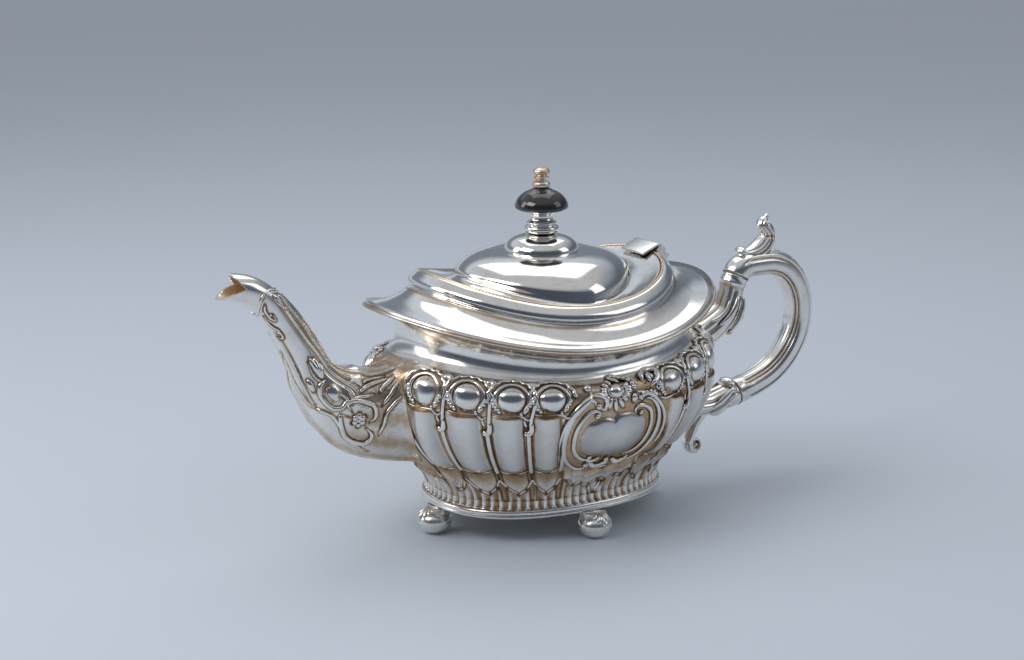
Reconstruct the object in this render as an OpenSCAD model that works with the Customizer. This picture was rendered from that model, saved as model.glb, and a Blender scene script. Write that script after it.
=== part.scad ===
// Oval rococo teapot: hinged domed lid, beaked spout, scroll handle, four ball feet.
// Millimetres, +Z up. The spout points to -X, the handle to +X and the chief
// panel of ornament to -Y. The origin is on the table, under the middle of the body.

/* [Body] */
// Length of the bowl at its belly, along X
belly_len = 162; // [150:1:176]
// Width of the bowl at its belly, along Y
belly_wid = 124; // [114:1:134]
// Height of the belly above the table
belly_z = 67; // [62:1:70]
// Length of the waist under the bowl
waist_len = 104; // [96:1:108]
// Width of the waist under the bowl
waist_wid = 80; // [72:1:83]
// Height of the waist above the table
waist_z = 18.5; // [17:0.5:22]
// Length of the throat under the rim
throat_len = 131; // [122:1:140]
// Width of the throat under the rim
throat_wid = 101; // [94:1:108]
// Height of the throat, at the front
throat_z = 78; // [76:0.5:80]
// How much longer the rim flange is than the belly
rim_over_len = -2; // [-6:0.5:4]
// How much wider the rim flange is than the belly
rim_over_wid = 0; // [-4:0.5:4]
// Height of the rim flange, at the front
rim_z = 86.5; // [83:0.5:89]
// How far the rim's ends rise above its front
rim_rise = 14.5; // [10:0.5:17]
// Thickness of the sheet metal
wall = 0.9; // [0.7:0.1:1.3]
// Diameter of the wire round the rim
rim_wire_d = 1.6; // [1.4:0.1:2.6]

/* [Cover] */
// Length of the lid's opening
seam_len = 106; // [98:1:110]
// Width of the lid's opening
seam_wid = 91; // [84:1:96]
// Height of the lid's seam, at the front
seam_z = 102; // [100:0.5:105]
// How far the seam's ends rise above its front
seam_rise = 10.5; // [8:0.5:12]
// How far the step stands outside the seam, at the ends
step_out_len = 4.5; // [3:0.5:10]
// How far the step stands outside the seam, at the front
step_out_wid = 4; // [4:0.5:7]
// Height of the step's wall
step_h = 5; // [4:0.5:6]

/* [Lid] */
// Length of the dome at its foot
dome_len = 78; // [70:1:84]
// Width of the dome at its foot
dome_wid = 83; // [76:1:84]
// Height of the dome's top above the table
dome_top_z = 118; // [116:0.5:122]
// Diameter of the round seat on the dome
seat_d = 32; // [28:1:36]
// Height of the round seat
seat_h = 7; // [5:0.5:8]
// Depth of the collar under the lid
collar_depth = 6; // [4:0.5:8]
// Gap between the lid and the opening
lid_gap = 0.35; // [0.3:0.05:0.6]

/* [Finial] */
// Height of the silver bobbin
bobbin_h = 10; // [8:0.5:13]
// Diameter of the bobbin's lower bead
bobbin_d = 15; // [13:0.5:18]
// Diameter of the black mushroom
disc_d = 23; // [18:0.5:28]
// Height of the black mushroom
disc_h = 9.3; // [7:0.1:12]
// Diameter of the cap's ball
cap_d = 7.2; // [6:0.2:9]
// Height of the cap, with its ball
cap_h = 9; // [8:0.2:11]
// Diameter of the stud through the finial
stud_d = 3; // [2.4:0.1:4]
// Width of the nut under the dome, across its flats
nut_w = 7; // [6:0.5:9]
// Gap round the stud in its holes
stud_gap = 0.05; // [0.02:0.01:0.1]

/* [Foot] */
// Length of the base ring
base_len = 109; // [104:1:116]
// Width of the base ring
base_wid = 84; // [80:1:90]
// Height of the base ring's underside
base_z = 11.5; // [10.5:0.5:13]
// Thickness of the base ring
base_h = 2.6; // [2:0.1:3.4]
// Diameter of a ball foot
ball_d = 15; // [12:0.5:18]
// Diameter of the flat under a ball foot
ball_flat_d = 3; // [2:0.5:5]

/* [Spout] */
// Distance of the spout's lower lip from the middle of the body
spout_reach = 152.5; // [146:0.5:164]
// Height of the spout's lower lip
spout_lip_z = 114; // [108:1:120]
// Half height of the spout's root
spout_root_r = 26; // [23:0.5:28]
// Width of the spout's root
spout_root_w = 36; // [30:1:42]
// Width of the spout at its collar ring
spout_neck_w = 13; // [11:0.5:16]
// Thickness of the spout's metal
spout_wall = 1.1; // [0.9:0.1:1.6]
// Diameter of a strainer hole
strainer_d = 3; // [2.4:0.1:3.4]

/* [Handle] */
// Distance of the handle's grip from the middle of the body
grip_reach = 144; // [136:0.5:152]
// Thickness of the grip, front to back
grip_t = 12; // [9:0.5:14]
// Width of the grip
grip_w = 13; // [10:0.5:16]
// How far the handle's joints stand out from the belly
joint_out = 24; // [22:0.5:27]
// Height of the handle's upper joint
upper_joint_z = 94; // [91:0.5:97]
// Height of the handle's lower joint
lower_joint_z = 39; // [37:0.5:42]
// Height of the thumb rest above the grip
thumb_h = 17; // [13:0.5:22]
// Thickness of the insulating washers
washer_t = 0.8; // [0.6:0.1:1.4]
// Diameter of the tenons in the handle's joints
tenon_d = 6; // [5:0.5:7]
// Depth of the tenons
tenon_h = 7; // [5:0.5:8]
// Diameter of the handle's pins
pin_d = 1.8; // [1.4:0.1:2.4]

/* [Hinge] */
// Diameter of the hinge pin
hinge_pin_d = 1.8; // [1.4:0.1:2.4]
// Outer diameter of the hinge knuckles
knuckle_d = 5; // [4.4:0.2:5.6]
// Length of the whole hinge
hinge_len = 17; // [14:0.5:20]
// Length of the knuckle on the lid
lid_knuckle_len = 7; // [5:0.5:9]
// Gap between the knuckles
knuckle_gap = 0.25; // [0.2:0.05:0.4]
// Gap between the pin and a knuckle's bore
pin_gap = 0.03; // [0.02:0.01:0.08]

/* [Hidden] */

silver = "gainsboro";
tarnish = "burlywood";
rim_len = belly_len + rim_over_len;
rim_wid = belly_wid + rim_over_wid;
step_len = seam_len + 2 * step_out_len;
step_wid = seam_wid + 2 * step_out_wid;
seat_gap = 0.12;   // gap where a soldered piece sits on a curved one
ring_n = 48;       // points round a lofted ring
tube_n = 24;       // points round a swept tube
$fn = 64;

// ---- splines and lofts ----

// Catmull-Rom point between b and c
function blend(a, b, c, d, t) = 0.5 * (2 * b + (c - a) * t + (2 * a - 5 * b + 4 * c - d) * t * t
  + (3 * b - a - 3 * c + d) * t * t * t);
function at(list, i) = list[min(max(i, 0), len(list) - 1)];
// Smooth path through the points of list, with steps samples for each stretch
function smooth(list, steps) = [for (i = [0:len(list) - 2], k = [0:steps - 1])
  blend(at(list, i - 1), list[i], list[i + 1], at(list, i + 2), k / steps), list[len(list) - 1]];

// A row of a loft is [half length, half width, roundness, height at the front, rise of the ends]
function ring(row, n = ring_n) = [for (i = [0:n - 1]) let (t = 360 * i / n, c = cos(t), s = sin(t),
  x = row[0] * sign(c) * pow(abs(c), 2 / row[2]), y = row[1] * sign(s) * pow(abs(s), 2 / row[2]))
  [x, y, row[3] + row[4] * pow(x / row[0], 2)]];
// The row moved by d across the profile; d > 0 is outward
function moved(rows, i, d) = let (p = at(rows, i - 1), q = at(rows, i + 1),
  tx = q[0] - p[0], tz = q[3] + q[4] / 2 - p[3] - p[4] / 2, l = norm([tx, tz]))
  [rows[i][0] + d * tz / l, rows[i][1] + d * tz / l, rows[i][2], rows[i][3] - d * tx / l, rows[i][4]];
function offset_rows(rows, d) = [for (i = [0:len(rows) - 1]) moved(rows, i, d)];
function reversed(list) = [for (i = [len(list) - 1:-1:0]) list[i]];

// Triangles that join ring i to ring j
function band(i, j, n) = [for (k = [0:n - 1]) let (m = (k + 1) % n)
  each [[i * n + k, j * n + k, j * n + m], [i * n + k, j * n + m, i * n + m]]];

// Rings that close on themselves, as a shell with a hole through it
module loft_ring(rows, n = ring_n) {
  rings = [for (r = rows) each ring(r, n)];
  polyhedron(rings, [for (i = [0:len(rows) - 1]) each band(i, (i + 1) % len(rows), n)]);
}
// Rings closed by a flat face at each end
module loft_solid(rows, n = ring_n) {
  rings = [for (r = rows) each ring(r, n)];
  last = len(rows) - 1;
  polyhedron(rings, concat([for (i = [0:last - 1]) each band(i, i + 1, n)],
    [[for (k = [0:n - 1]) k], [for (k = [n - 1:-1:0]) last * n + k]]));
}

// A point of a path is [x, z, half thickness, half width]; the tube bends in the XZ plane
function tube_ring(path, i, grow, n) = let (p = at(path, i - 1), q = at(path, i + 1), c = path[i],
  l = norm([q[0] - p[0], q[1] - p[1]]), tx = (q[0] - p[0]) / l, tz = (q[1] - p[1]) / l)
  [for (k = [0:n - 1]) let (a = 360 * k / n, u = (c[2] + grow) * cos(a), v = (c[3] + grow) * sin(a))
    [c[0] - tz * u, -v, c[1] + tx * u]];
// Cylinder along Y through the point [x, z]
module across(x, z, d, l) translate([x, -l / 2, z]) rotate([-90, 0, 0]) cylinder(d = d, h = l);
// Cylinder from p along the direction dir in the XZ plane
module along(p, dir, d, l) translate([p[0], 0, p[1]]) rotate([0, atan2(dir[0], dir[1]), 0])
  cylinder(d = d, h = l);

// ---- the body's profile ----

// Swell of the bowl from its waist (0) to its belly (1): [share of width, share of height]
bowl_swell = [[0, 0], [0.05, 0.07], [0.2, 0.17], [0.42, 0.29], [0.62, 0.41], [0.79, 0.55],
  [0.92, 0.71], [0.985, 0.87], [1, 1]];
belly_rise = 3.5;  // rise of the belly's ends
throat_rise = 9.5; // rise of the throat's ends
shoulder_in = 8;   // how far the shoulder's round edge comes in
shoulder_up = 6;   // how far it rises above the belly
body_n = 2.1;      // roundness of the body's plan
base_n = 2.3;      // roundness of the base's plan

function mix(a, b, t) = a + (b - a) * t;
function bowl(steps) = [for (p = smooth(bowl_swell, steps)) [mix(waist_len, belly_len, p[0]) / 2,
  mix(waist_wid, belly_wid, p[0]) / 2, mix(base_n, body_n, p[1]), mix(waist_z, belly_z, p[1]),
  belly_rise * p[1]]];
shoulder_rows = [for (a = [30:30:90]) [belly_len / 2 - shoulder_in * (1 - cos(a)),
  belly_wid / 2 - shoulder_in * (1 - cos(a)), body_n, belly_z + shoulder_up * sin(a),
  mix(belly_rise, throat_rise, 0.5 * sin(a))]];
throat_rows = [for (a = [60:-30:0]) [throat_len / 2 + (belly_len / 2 - shoulder_in - throat_len / 2)
  * (1 - cos(a)), throat_wid / 2 + (belly_wid / 2 - shoulder_in - throat_wid / 2) * (1 - cos(a)), body_n,
  throat_z - (throat_z - belly_z - shoulder_up) * sin(a), mix(throat_rise, belly_rise, 0.5 * sin(a))]];
rim_in = rim_wire_d + seat_gap;               // from the rim's edge to the sheets inside its wire
flare_top = rim_z - 2 * wall - 2 * seat_gap;  // where the flare ends, under the cover's edge
flare_rows = [for (a = [22.5:22.5:90]) [mix(throat_len / 2, rim_len / 2 - rim_in, 1 - cos(a)),
  mix(throat_wid / 2, rim_wid / 2 - rim_in, 1 - cos(a)), body_n, mix(throat_z, flare_top, sin(a)),
  mix(throat_rise, rim_rise, sin(a))]];
function body_rows(steps) = concat(bowl(steps), shoulder_rows, throat_rows, flare_rows);

// The bowl's outer form between two of its rows, closed, grown outward by seat_gap
form_rows = concat(bowl(2), shoulder_rows, throat_rows);
module bowl_form(first = 0, last = len(form_rows) - 1) {
  a = form_rows[first];
  b = form_rows[last];
  loft_solid(concat([[a[0] / 2, a[1] / 2, 2, a[3] - seat_gap, 0]],
    [for (i = [first:last]) let (r = form_rows[i]) [r[0] + seat_gap, r[1] + seat_gap, r[2], r[3], r[4]]],
    [[b[0] / 2, b[1] / 2, 2, b[3] + b[4], 0]]));
}

// ---- the cover's profile, from the rim in to the lid's seam ----

step_z = seam_z - step_h - 1.5; // foot of the step's wall at the front
cover_rows = [
  [rim_len / 2 - rim_in, rim_wid / 2 - rim_in, body_n, rim_z, rim_rise],
  [mix(rim_len, step_len, 0.3) / 2, mix(rim_wid, step_wid, 0.3) / 2, body_n,
    mix(rim_z, step_z, 0.12), mix(rim_rise, seam_rise, 0.2)],
  [mix(rim_len, step_len, 0.58) / 2, mix(rim_wid, step_wid, 0.58) / 2, body_n,
    mix(rim_z, step_z, 0.3), mix(rim_rise, seam_rise, 0.4)],
  [mix(rim_len, step_len, 0.8) / 2, mix(rim_wid, step_wid, 0.8) / 2, body_n,
    mix(rim_z, step_z, 0.58), mix(rim_rise, seam_rise, 0.6)],
  [mix(rim_len, step_len, 0.94) / 2, mix(rim_wid, step_wid, 0.94) / 2, body_n,
    mix(rim_z, step_z, 0.88), mix(rim_rise, seam_rise, 0.8)],
  [step_len / 2 + 0.4, step_wid / 2 + 0.4, body_n, step_z, seam_rise],
  [step_len / 2 + 1.2, step_wid / 2 + 1.2, body_n, step_z + step_h * 0.3, seam_rise],
  [step_len / 2 + 0.9, step_wid / 2 + 0.9, body_n, step_z + step_h * 0.65, seam_rise],
  [step_len / 2 - 0.8, step_wid / 2 - 0.4, body_n, step_z + step_h, seam_rise],
  [mix(step_len, seam_len, 0.55) / 2, mix(step_wid, seam_wid, 0.55) / 2, body_n,
    mix(step_z + step_h, seam_z, 0.92), seam_rise],
  [seam_len / 2, seam_wid / 2, body_n, seam_z, seam_rise]];

// ---- the lid's profile, from the seam in to the finial's seat ----

gutter_z = seam_z - 0.6;  // the gutter round the dome, at the front
gutter_rise = seam_rise - 3.4;
lid_edge = [seam_len / 2 - lid_gap, seam_wid / 2 - lid_gap, body_n, seam_z, seam_rise];
lid_rows = concat([lid_edge,
  [mix(seam_len, dome_len, 0.35) / 2 - lid_gap, mix(seam_wid, dome_wid, 0.35) / 2 - lid_gap, 2,
    mix(seam_z, gutter_z, 0.7), mix(seam_rise, gutter_rise, 0.6)],
  [mix(seam_len, dome_len, 0.75) / 2, mix(seam_wid, dome_wid, 0.75) / 2, 1.85, gutter_z, gutter_rise],
  [dome_len / 2, dome_wid / 2, 1.75, gutter_z + 0.3, gutter_rise + 0.3]],
  [for (a = [20, 38, 56, 74]) let (s = 1 - cos(a)) [mix(dome_len, seat_d, s) / 2 , mix(dome_wid, seat_d, s) / 2,
    mix(1.75, 2, s), mix(gutter_z, dome_top_z, sin(a)), gutter_rise * (1 - sin(a))]],
  [[seat_d / 2, seat_d / 2, 2, dome_top_z, 0]]);

// ---- the body's pieces ----

module body_shell() color(silver) difference() {
  loft_solid(concat(body_rows(2), reversed(offset_rows(body_rows(1), -wall))));
  strainer_holes();
}
// Rows of holes in the bowl's wall, behind the spout's root
strainer_rows = 5;
strainer_pitch = 6;
module strainer_holes() for (i = [0:strainer_rows - 1], j = [(i % 2) / 2 - 1:1])
  translate([-belly_len / 2 - 5, j * strainer_pitch,
    belly_z - 6 - i * strainer_pitch * 0.87]) rotate([0, 90, 0])
    cylinder(d = strainer_d, h = belly_len / 4, $fn = 20);

foot_t = 1.3; // thickness of the foot's casting
foot_cove = [for (a = [0:13:65]) [(1 - cos(a)) / (1 - cos(65)), sin(a) / sin(65)]];
module foot_band() color(silver) {
  rows = [for (c = reversed(foot_cove)) [mix(waist_len, base_len - 2, c[0]) / 2,
    mix(waist_wid, base_wid - 2, c[0]) / 2, base_n, mix(waist_z, base_z + base_h, c[1]), 0]];
  loft_ring(concat(rows, [for (r = reversed(rows)) [r[0] - foot_t, r[1] - foot_t, r[2], r[3], 0]]));
}
foot_pad_w = 6; // how far the base ring reaches in, over the feet
module base_rim() color(silver) loft_ring([for (p = [[0.7, 0], [0, 0.3], [0, 0.7], [0.8, 1],
  [foot_pad_w, 1], [foot_pad_w, 0]]) [base_len / 2 - p[0], base_wid / 2 - p[0], base_n,
  base_z + base_h * p[1], 0]]);

ball_h = base_z - 0.3; // height of a ball
module foot(dir) color(silver) {
  r = ball_d / 2;
  start = -acos(ball_flat_d / ball_d);
  rotate_extrude() polygon(concat([[0, 0]], [for (i = [0:16]) let (a = mix(start, 90, i / 16))
    [r * cos(a), ball_h * (sin(a) - sin(start)) / (1 - sin(start))]]));
  translate(-dir * (foot_pad_w / 2 + 0.2)) translate([0, 0, ball_h / 2])
    cylinder(d = foot_pad_w - 0.4, h = base_z - ball_h / 2);
}
module foot_front() translate([0, -base_wid / 2, 0]) foot([0, -1, 0]);
module foot_rear() translate([0, base_wid / 2, 0]) foot([0, 1, 0]);
module foot_spout_end() translate([-base_len / 2, 0, 0]) foot([-1, 0, 0]);
module foot_handle_end() translate([base_len / 2, 0, 0]) foot([1, 0, 0]);

module rim_wire() color(tarnish) loft_ring([for (a = [0:60:300]) let (r = rim_wire_d / 2)
  [rim_len / 2 - r + r * cos(a), rim_wid / 2 - r + r * cos(a), body_n,
    rim_z - wall - seat_gap + r * sin(a), rim_rise]]);

// ---- the hinge ----

pin_x = seam_len / 2 + knuckle_d / 2 + 1.6;
pin_z = seam_z + seam_rise - 0.6;
trough_t = 0.9;                              // thickness of the half-round seat
trough_d = knuckle_d + 0.7;                  // bore of the half-round seat
trough_len = hinge_len + 0.5;
trough_out_d = trough_d + 2 * trough_t;
module hinge_pocket() across(pin_x, pin_z, trough_out_d + 2 * seat_gap,
  trough_len + 2 * trough_t + 2 * seat_gap);
module outline_across(points, l) translate([0, l / 2, 0]) rotate([90, 0, 0])
  linear_extrude(l) polygon(points);
module pin_bore() across(pin_x, pin_z, hinge_pin_d + 2 * pin_gap, hinge_len + 2);

body_knuckle_len = (hinge_len - lid_knuckle_len) / 2 - knuckle_gap;
module hinge_body() color(tarnish) difference() {
  union() {
    difference() {
      across(pin_x, pin_z, trough_out_d, trough_len + 2 * trough_t);
      across(pin_x, pin_z, trough_d, trough_len);
      outline_across([[pin_x - 9, pin_z + 0.3], [pin_x, pin_z + 0.3], [pin_x + 1.5, pin_z - 1.2],
        [pin_x + 9, pin_z - 1.2], [pin_x + 9, pin_z + 9], [pin_x - 9, pin_z + 9]], hinge_len * 2);
    }
    for (s = [-1, 1]) translate([0, s * (hinge_len - body_knuckle_len) / 2, 0]) {
      across(pin_x, pin_z, knuckle_d, body_knuckle_len);
      translate([pin_x - 1.1, -body_knuckle_len / 2, pin_z - trough_out_d / 2 + trough_t / 2])
        cube([2.2, body_knuckle_len, trough_out_d / 2 - trough_t / 2]);
    }
  }
  pin_bore();
}
hinge_plate_t = 1;
module hinge_leaf() color(tarnish) difference() {
  union() {
    across(pin_x, pin_z, knuckle_d, lid_knuckle_len);
    outline_across([[pin_x, pin_z + knuckle_d / 2], [pin_x - 3.8, pin_z + 3],
      [pin_x - 10, pin_z - 0.4], [pin_x - 10, pin_z - 1.9], [pin_x - 4.3, pin_z + 0.95],
      [pin_x - 2.2, pin_z + 0.95], [pin_x - 1, pin_z]], lid_knuckle_len);
    outline_across([for (p = [[0.4, 0.3], [0.4, 0.3 + hinge_plate_t], [-3.8, 1.1 + hinge_plate_t],
      [-10, hinge_plate_t - 2.7], [-10, -2.7], [-4.2, 0.3]])
      [pin_x + p[0], pin_z + knuckle_d / 2 + p[1]]], hinge_len);
  }
  pin_bore();
}
module hinge_pin() color(silver) across(pin_x, pin_z, hinge_pin_d, hinge_len);

// ---- the cover and the lid ----

module top_cover() color(silver) difference() {
  loft_ring(concat(cover_rows, reversed(offset_rows(cover_rows, -wall))));
  hinge_pocket();
}
ledge_w = 2;                        // how far the ledge reaches under the lid
ledge_z = seam_z - wall - seat_gap; // its top, at the seam
module lid_seat() color(silver) difference() {
  loft_ring([for (p = [[ledge_w, -0.45, 0, 1], [0, -0.15, 0, 1], [-ledge_w, -0.7, -0.9, 0.6],
    [-ledge_w, -1.5, -0.9, 0.6], [0, -1.1, 0, 1], [ledge_w, -1.3, 0, 1]])
    [seam_len / 2 + p[0], seam_wid / 2 + p[0] * p[3], body_n, ledge_z + p[1], seam_rise + p[2]]]);
  hinge_pocket();
}
module lid_shell() color(silver) difference() {
  loft_solid(concat(reversed(offset_rows(lid_rows, -wall)), lid_rows));
  stud_bore();
}
collar_in = ledge_w + 0.7; // from the opening's edge to the collar
module lid_collar() color(silver) loft_ring([for (p = [[0, 1], [0, 0], [wall, 0], [wall, 1]])
  [seam_len / 2 - collar_in - p[0], seam_wid / 2 - collar_in + 0.7 - p[0], 2,
    seam_z - wall - 0.75 - collar_depth * p[1], seam_rise - 1.5 + 0.5 * p[1]]]);

// ---- the finial ----

seat_z = dome_top_z;
bobbin_z = seat_z + seat_h;
disc_z = bobbin_z + bobbin_h;
cap_z = disc_z + disc_h;
bore_r = stud_d / 2 + stud_gap;
nut_h = 2.4;
finial_washer_h = 0.8;
module stud_bore() translate([0, 0, seat_z - 10]) cylinder(r = bore_r, h = 20);
// A turned piece: points are [radius, height], closed along the stud's bore
module turned(z, points) translate([0, 0, z]) rotate_extrude()
  polygon(concat([[bore_r, 0]], points, [[bore_r, points[len(points) - 1][1]]]));

module finial_seat() color(silver) turned(seat_z, [for (a = [0:15:75])
  [mix(bobbin_d * 0.36, seat_d / 2, cos(a)), seat_h * sin(a) * 0.93], [bobbin_d * 0.36, seat_h]]);
module finial_bobbin() color(silver) {
  r = bobbin_d / 2;
  turned(bobbin_z, [for (p = [[0.7, 0], [0.86, 0.03], [0.97, 0.1], [1, 0.19], [0.97, 0.28], [0.84, 0.35],
    [0.8, 0.38], [0.85, 0.42], [0.86, 0.47], [0.8, 0.51], [0.68, 0.57], [0.63, 0.66], [0.63, 0.76],
    [0.68, 0.85], [0.77, 0.92], [0.78, 1]]) [p[0] * r, p[1] * bobbin_h]]);
}
module finial_disc() color([0.08, 0.07, 0.07]) turned(disc_z, [for (p = [[0.8, 0], [0.93, 0.04],
  [0.99, 0.1], [1, 0.19], [0.985, 0.3], [0.94, 0.44], [0.86, 0.58], [0.74, 0.72], [0.58, 0.85],
  [0.42, 0.93], [0.33, 1]]) [p[0] * disc_d / 2, p[1] * disc_h]]);
cap_bore_h = cap_h * 0.45; // how deep the stud goes into the cap
module finial_cap() color(tarnish) {
  r = cap_d / 2;
  difference() {
    translate([0, 0, cap_z]) rotate_extrude() polygon(concat([[0, 0]],
      [for (p = [[0.75, 0], [1.02, 0.07], [1.07, 0.16], [1.02, 0.26], [0.8, 0.34], [0.62, 0.38],
        [0.65, 0.43], [0.89, 0.47], [0.92, 0.51], [0.85, 0.55], [0.64, 0.58]]) [p[0] * r, p[1] * cap_h]],
      [for (a = [-44:15:76]) [r * cos(a), cap_h * (0.79 + 0.21 * sin(a))]], [[0, cap_h]]));
    translate([0, 0, cap_z - 1]) cylinder(r = bore_r, h = cap_bore_h + 1);
  }
}
nut_z = seat_z - wall - finial_washer_h - nut_h;
module finial_stud() color(tarnish) translate([0, 0, nut_z - 1.2])
  cylinder(d = stud_d, h = cap_z + cap_bore_h - 0.2 - nut_z + 1.2);
module finial_washer() color(silver) translate([0, 0, nut_z + nut_h]) difference() {
  cylinder(d = nut_w * 1.5, h = finial_washer_h);
  translate([0, 0, -1]) cylinder(r = bore_r, h = finial_washer_h + 2);
}
module finial_nut() color(tarnish) translate([0, 0, nut_z]) difference() {
  cylinder(d = nut_w / cos(30), h = nut_h, $fn = 6);
  translate([0, 0, -1]) cylinder(r = bore_r, h = nut_h + 2);
}

// ---- the spout ----

lip_x = -spout_reach;
neck_r = spout_neck_w / 2;
root_half_w = spout_root_w / 2;
// From beyond the lip down to the root, which ends inside the bowl
spout_path = smooth([
  [lip_x - 4, spout_lip_z + 6, neck_r - 1.3, neck_r - 0.8],
  [lip_x + 5, spout_lip_z + 4.6, neck_r - 0.8, neck_r - 0.4],
  [lip_x + 13.5, spout_lip_z + 2, neck_r - 0.2, neck_r],
  [lip_x + 20.5, spout_lip_z - 2.7, neck_r, neck_r],
  [lip_x + 26, spout_lip_z - 8.7, neck_r + 0.4, neck_r + 0.2],
  [lip_x + 31.7, spout_lip_z - 17, neck_r + 1, neck_r + 0.6],
  [lip_x + 37.2, spout_lip_z - 27.5, neck_r + 2, neck_r + 1.3],
  [-belly_len / 2 - 29.5, belly_z + 9, mix(neck_r, spout_root_r, 0.2), mix(neck_r, root_half_w, 0.3)],
  [-belly_len / 2 - 21, belly_z, mix(neck_r, spout_root_r, 0.43), mix(neck_r, root_half_w, 0.52)],
  [-belly_len / 2 - 9, belly_z - 5.5, mix(neck_r, spout_root_r, 0.66), mix(neck_r, root_half_w, 0.78)],
  [-belly_len / 2 + 5, belly_z - 7, spout_root_r, root_half_w],
  [-belly_len / 2 + 32, belly_z - 7, spout_root_r, root_half_w]], 2);
neck_i = 6; // the ring of the path where lip and spout meet
module tube_part(path, i0, i1, grow = 0, n = tube_n) {
  rings = [for (i = [i0:i1]) each tube_ring(path, i, grow, n)];
  last = i1 - i0;
  polyhedron(rings, concat([for (i = [0:last - 1]) each band(i, i + 1, n)],
    [[for (k = [0:n - 1]) k], [for (k = [n - 1:-1:0]) last * n + k]]));
}
module tube(path, grow = 0, n = tube_n) tube_part(path, 0, len(path) - 1, grow, n);

module spout() color(silver) difference() {
  tube_part(spout_path, neck_i, len(spout_path) - 1);
  tube(spout_path, -spout_wall);
  bowl_form();
}
module spout_lip() color(silver) difference() {
  tube_part(spout_path, 0, neck_i);
  tube(spout_path, -spout_wall);
  outline_across([for (p = [[15, 3], [8, 9.2], [3, 20], [-15, 20], [-15, -10], [-2, -10], [0, 0]])
    [lip_x + p[0], spout_lip_z + p[1]]], spout_neck_w * 2);
}
collar_wire_d = 1.6;
module spout_collar() color(silver) {
  p = spout_path[neck_i - 1];
  q = spout_path[neck_i + 1];
  c = spout_path[neck_i];
  translate([c[0], 0, c[1]]) rotate([0, atan2(q[0] - p[0], q[1] - p[1]), 0]) rotate_extrude()
    translate([neck_r + collar_wire_d / 2 + seat_gap, 0]) circle(d = collar_wire_d, $fn = 24);
}

// ---- the handle ----

joint_x = belly_len / 2 + joint_out;   // both joints of the handle lie this far out
up_dir = [0.45, 0.893];                // from the upper socket into the grip
low_dir = [0.97, 0.24];                // from the lower socket into the grip
up = [joint_x, upper_joint_z];
low = [joint_x, lower_joint_z];
socket_r = 6.3;
function stub(p, dir, d, rn, ry) = [p[0] + dir[0] * d, p[1] + dir[1] * d, rn, ry];

// The grip's curve: [share of its reach, share of the height between the joints]
grip_curve = [[0.13, 0.075], [0.31, 0.085], [0.52, 0.075], [0.7, 0.03], [0.87, -0.075], [0.97, -0.215],
  [1, -0.38], [0.945, -0.56], [0.79, -0.73], [0.56, -0.865], [0.27, -0.95]];
grip_path = concat([stub(up, up_dir, washer_t / 2, socket_r - 0.2, socket_r)],
  smooth(concat([stub(up, up_dir, washer_t / 2 + 1, socket_r - 0.2, socket_r)],
  [for (g = grip_curve) [mix(joint_x, grip_reach, g[0]),
    upper_joint_z + g[1] * (upper_joint_z - lower_joint_z), grip_t / 2, grip_w / 2]],
  [stub(low, low_dir, washer_t / 2 + 1, socket_r - 0.3, socket_r)]), 2),
  [stub(low, low_dir, washer_t / 2, socket_r - 0.3, socket_r)]);
fit = 0.05;          // gap round the tenons
pin_depth = 3.8;     // from a joint's face to its pin
function beyond(p, dir, d) = [p[0] + dir[0] * d, p[1] + dir[1] * d];
up_pin = beyond(up, up_dir, -pin_depth);
low_pin = beyond(low, low_dir, pin_depth);
module pin_hole(p) across(p[0], p[1], pin_d + 2 * pin_gap, grip_w * 3);

module handle_grip() color(silver) difference() {
  union() {
    tube(grip_path);
    along(up, -up_dir, tenon_d, tenon_h);
    along(up, up_dir, tenon_d, 1);
  }
  along(beyond(low, low_dir, -1), low_dir, tenon_d + 2 * fit, tenon_h + 1.2);
  pin_hole(up_pin);
  pin_hole(low_pin);
}
module handle_upper_socket() color(silver) difference() {
  union() {
    tube(concat(smooth([[belly_len / 2 - 12, belly_z + 1, 9, 6.5], [belly_len / 2 + 1, belly_z + 1.5, 8.5, 6.5],
      [belly_len / 2 + 9, belly_z + 4.5, 8, 6.4], [joint_x - 6.5, upper_joint_z - 16, 7, 6.4],
      [joint_x - 3.2, upper_joint_z - 8, 6.4, 6.4], stub(up, up_dir, -1.4, socket_r - 0.2, socket_r)], 2),
      [stub(up, up_dir, -washer_t / 2, socket_r - 0.2, socket_r)]));
    translate([joint_x + 1.7, 0, upper_joint_z - 15]) sphere(r = 3.4, $fn = 32);
    translate([joint_x - 2.5, 0, upper_joint_z - 24]) sphere(r = 3.2, $fn = 32);
  }
  along(up, -up_dir, tenon_d + 2 * fit, tenon_h + 0.3);
  pin_hole(up_pin);
  bowl_form(11);
}
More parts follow.
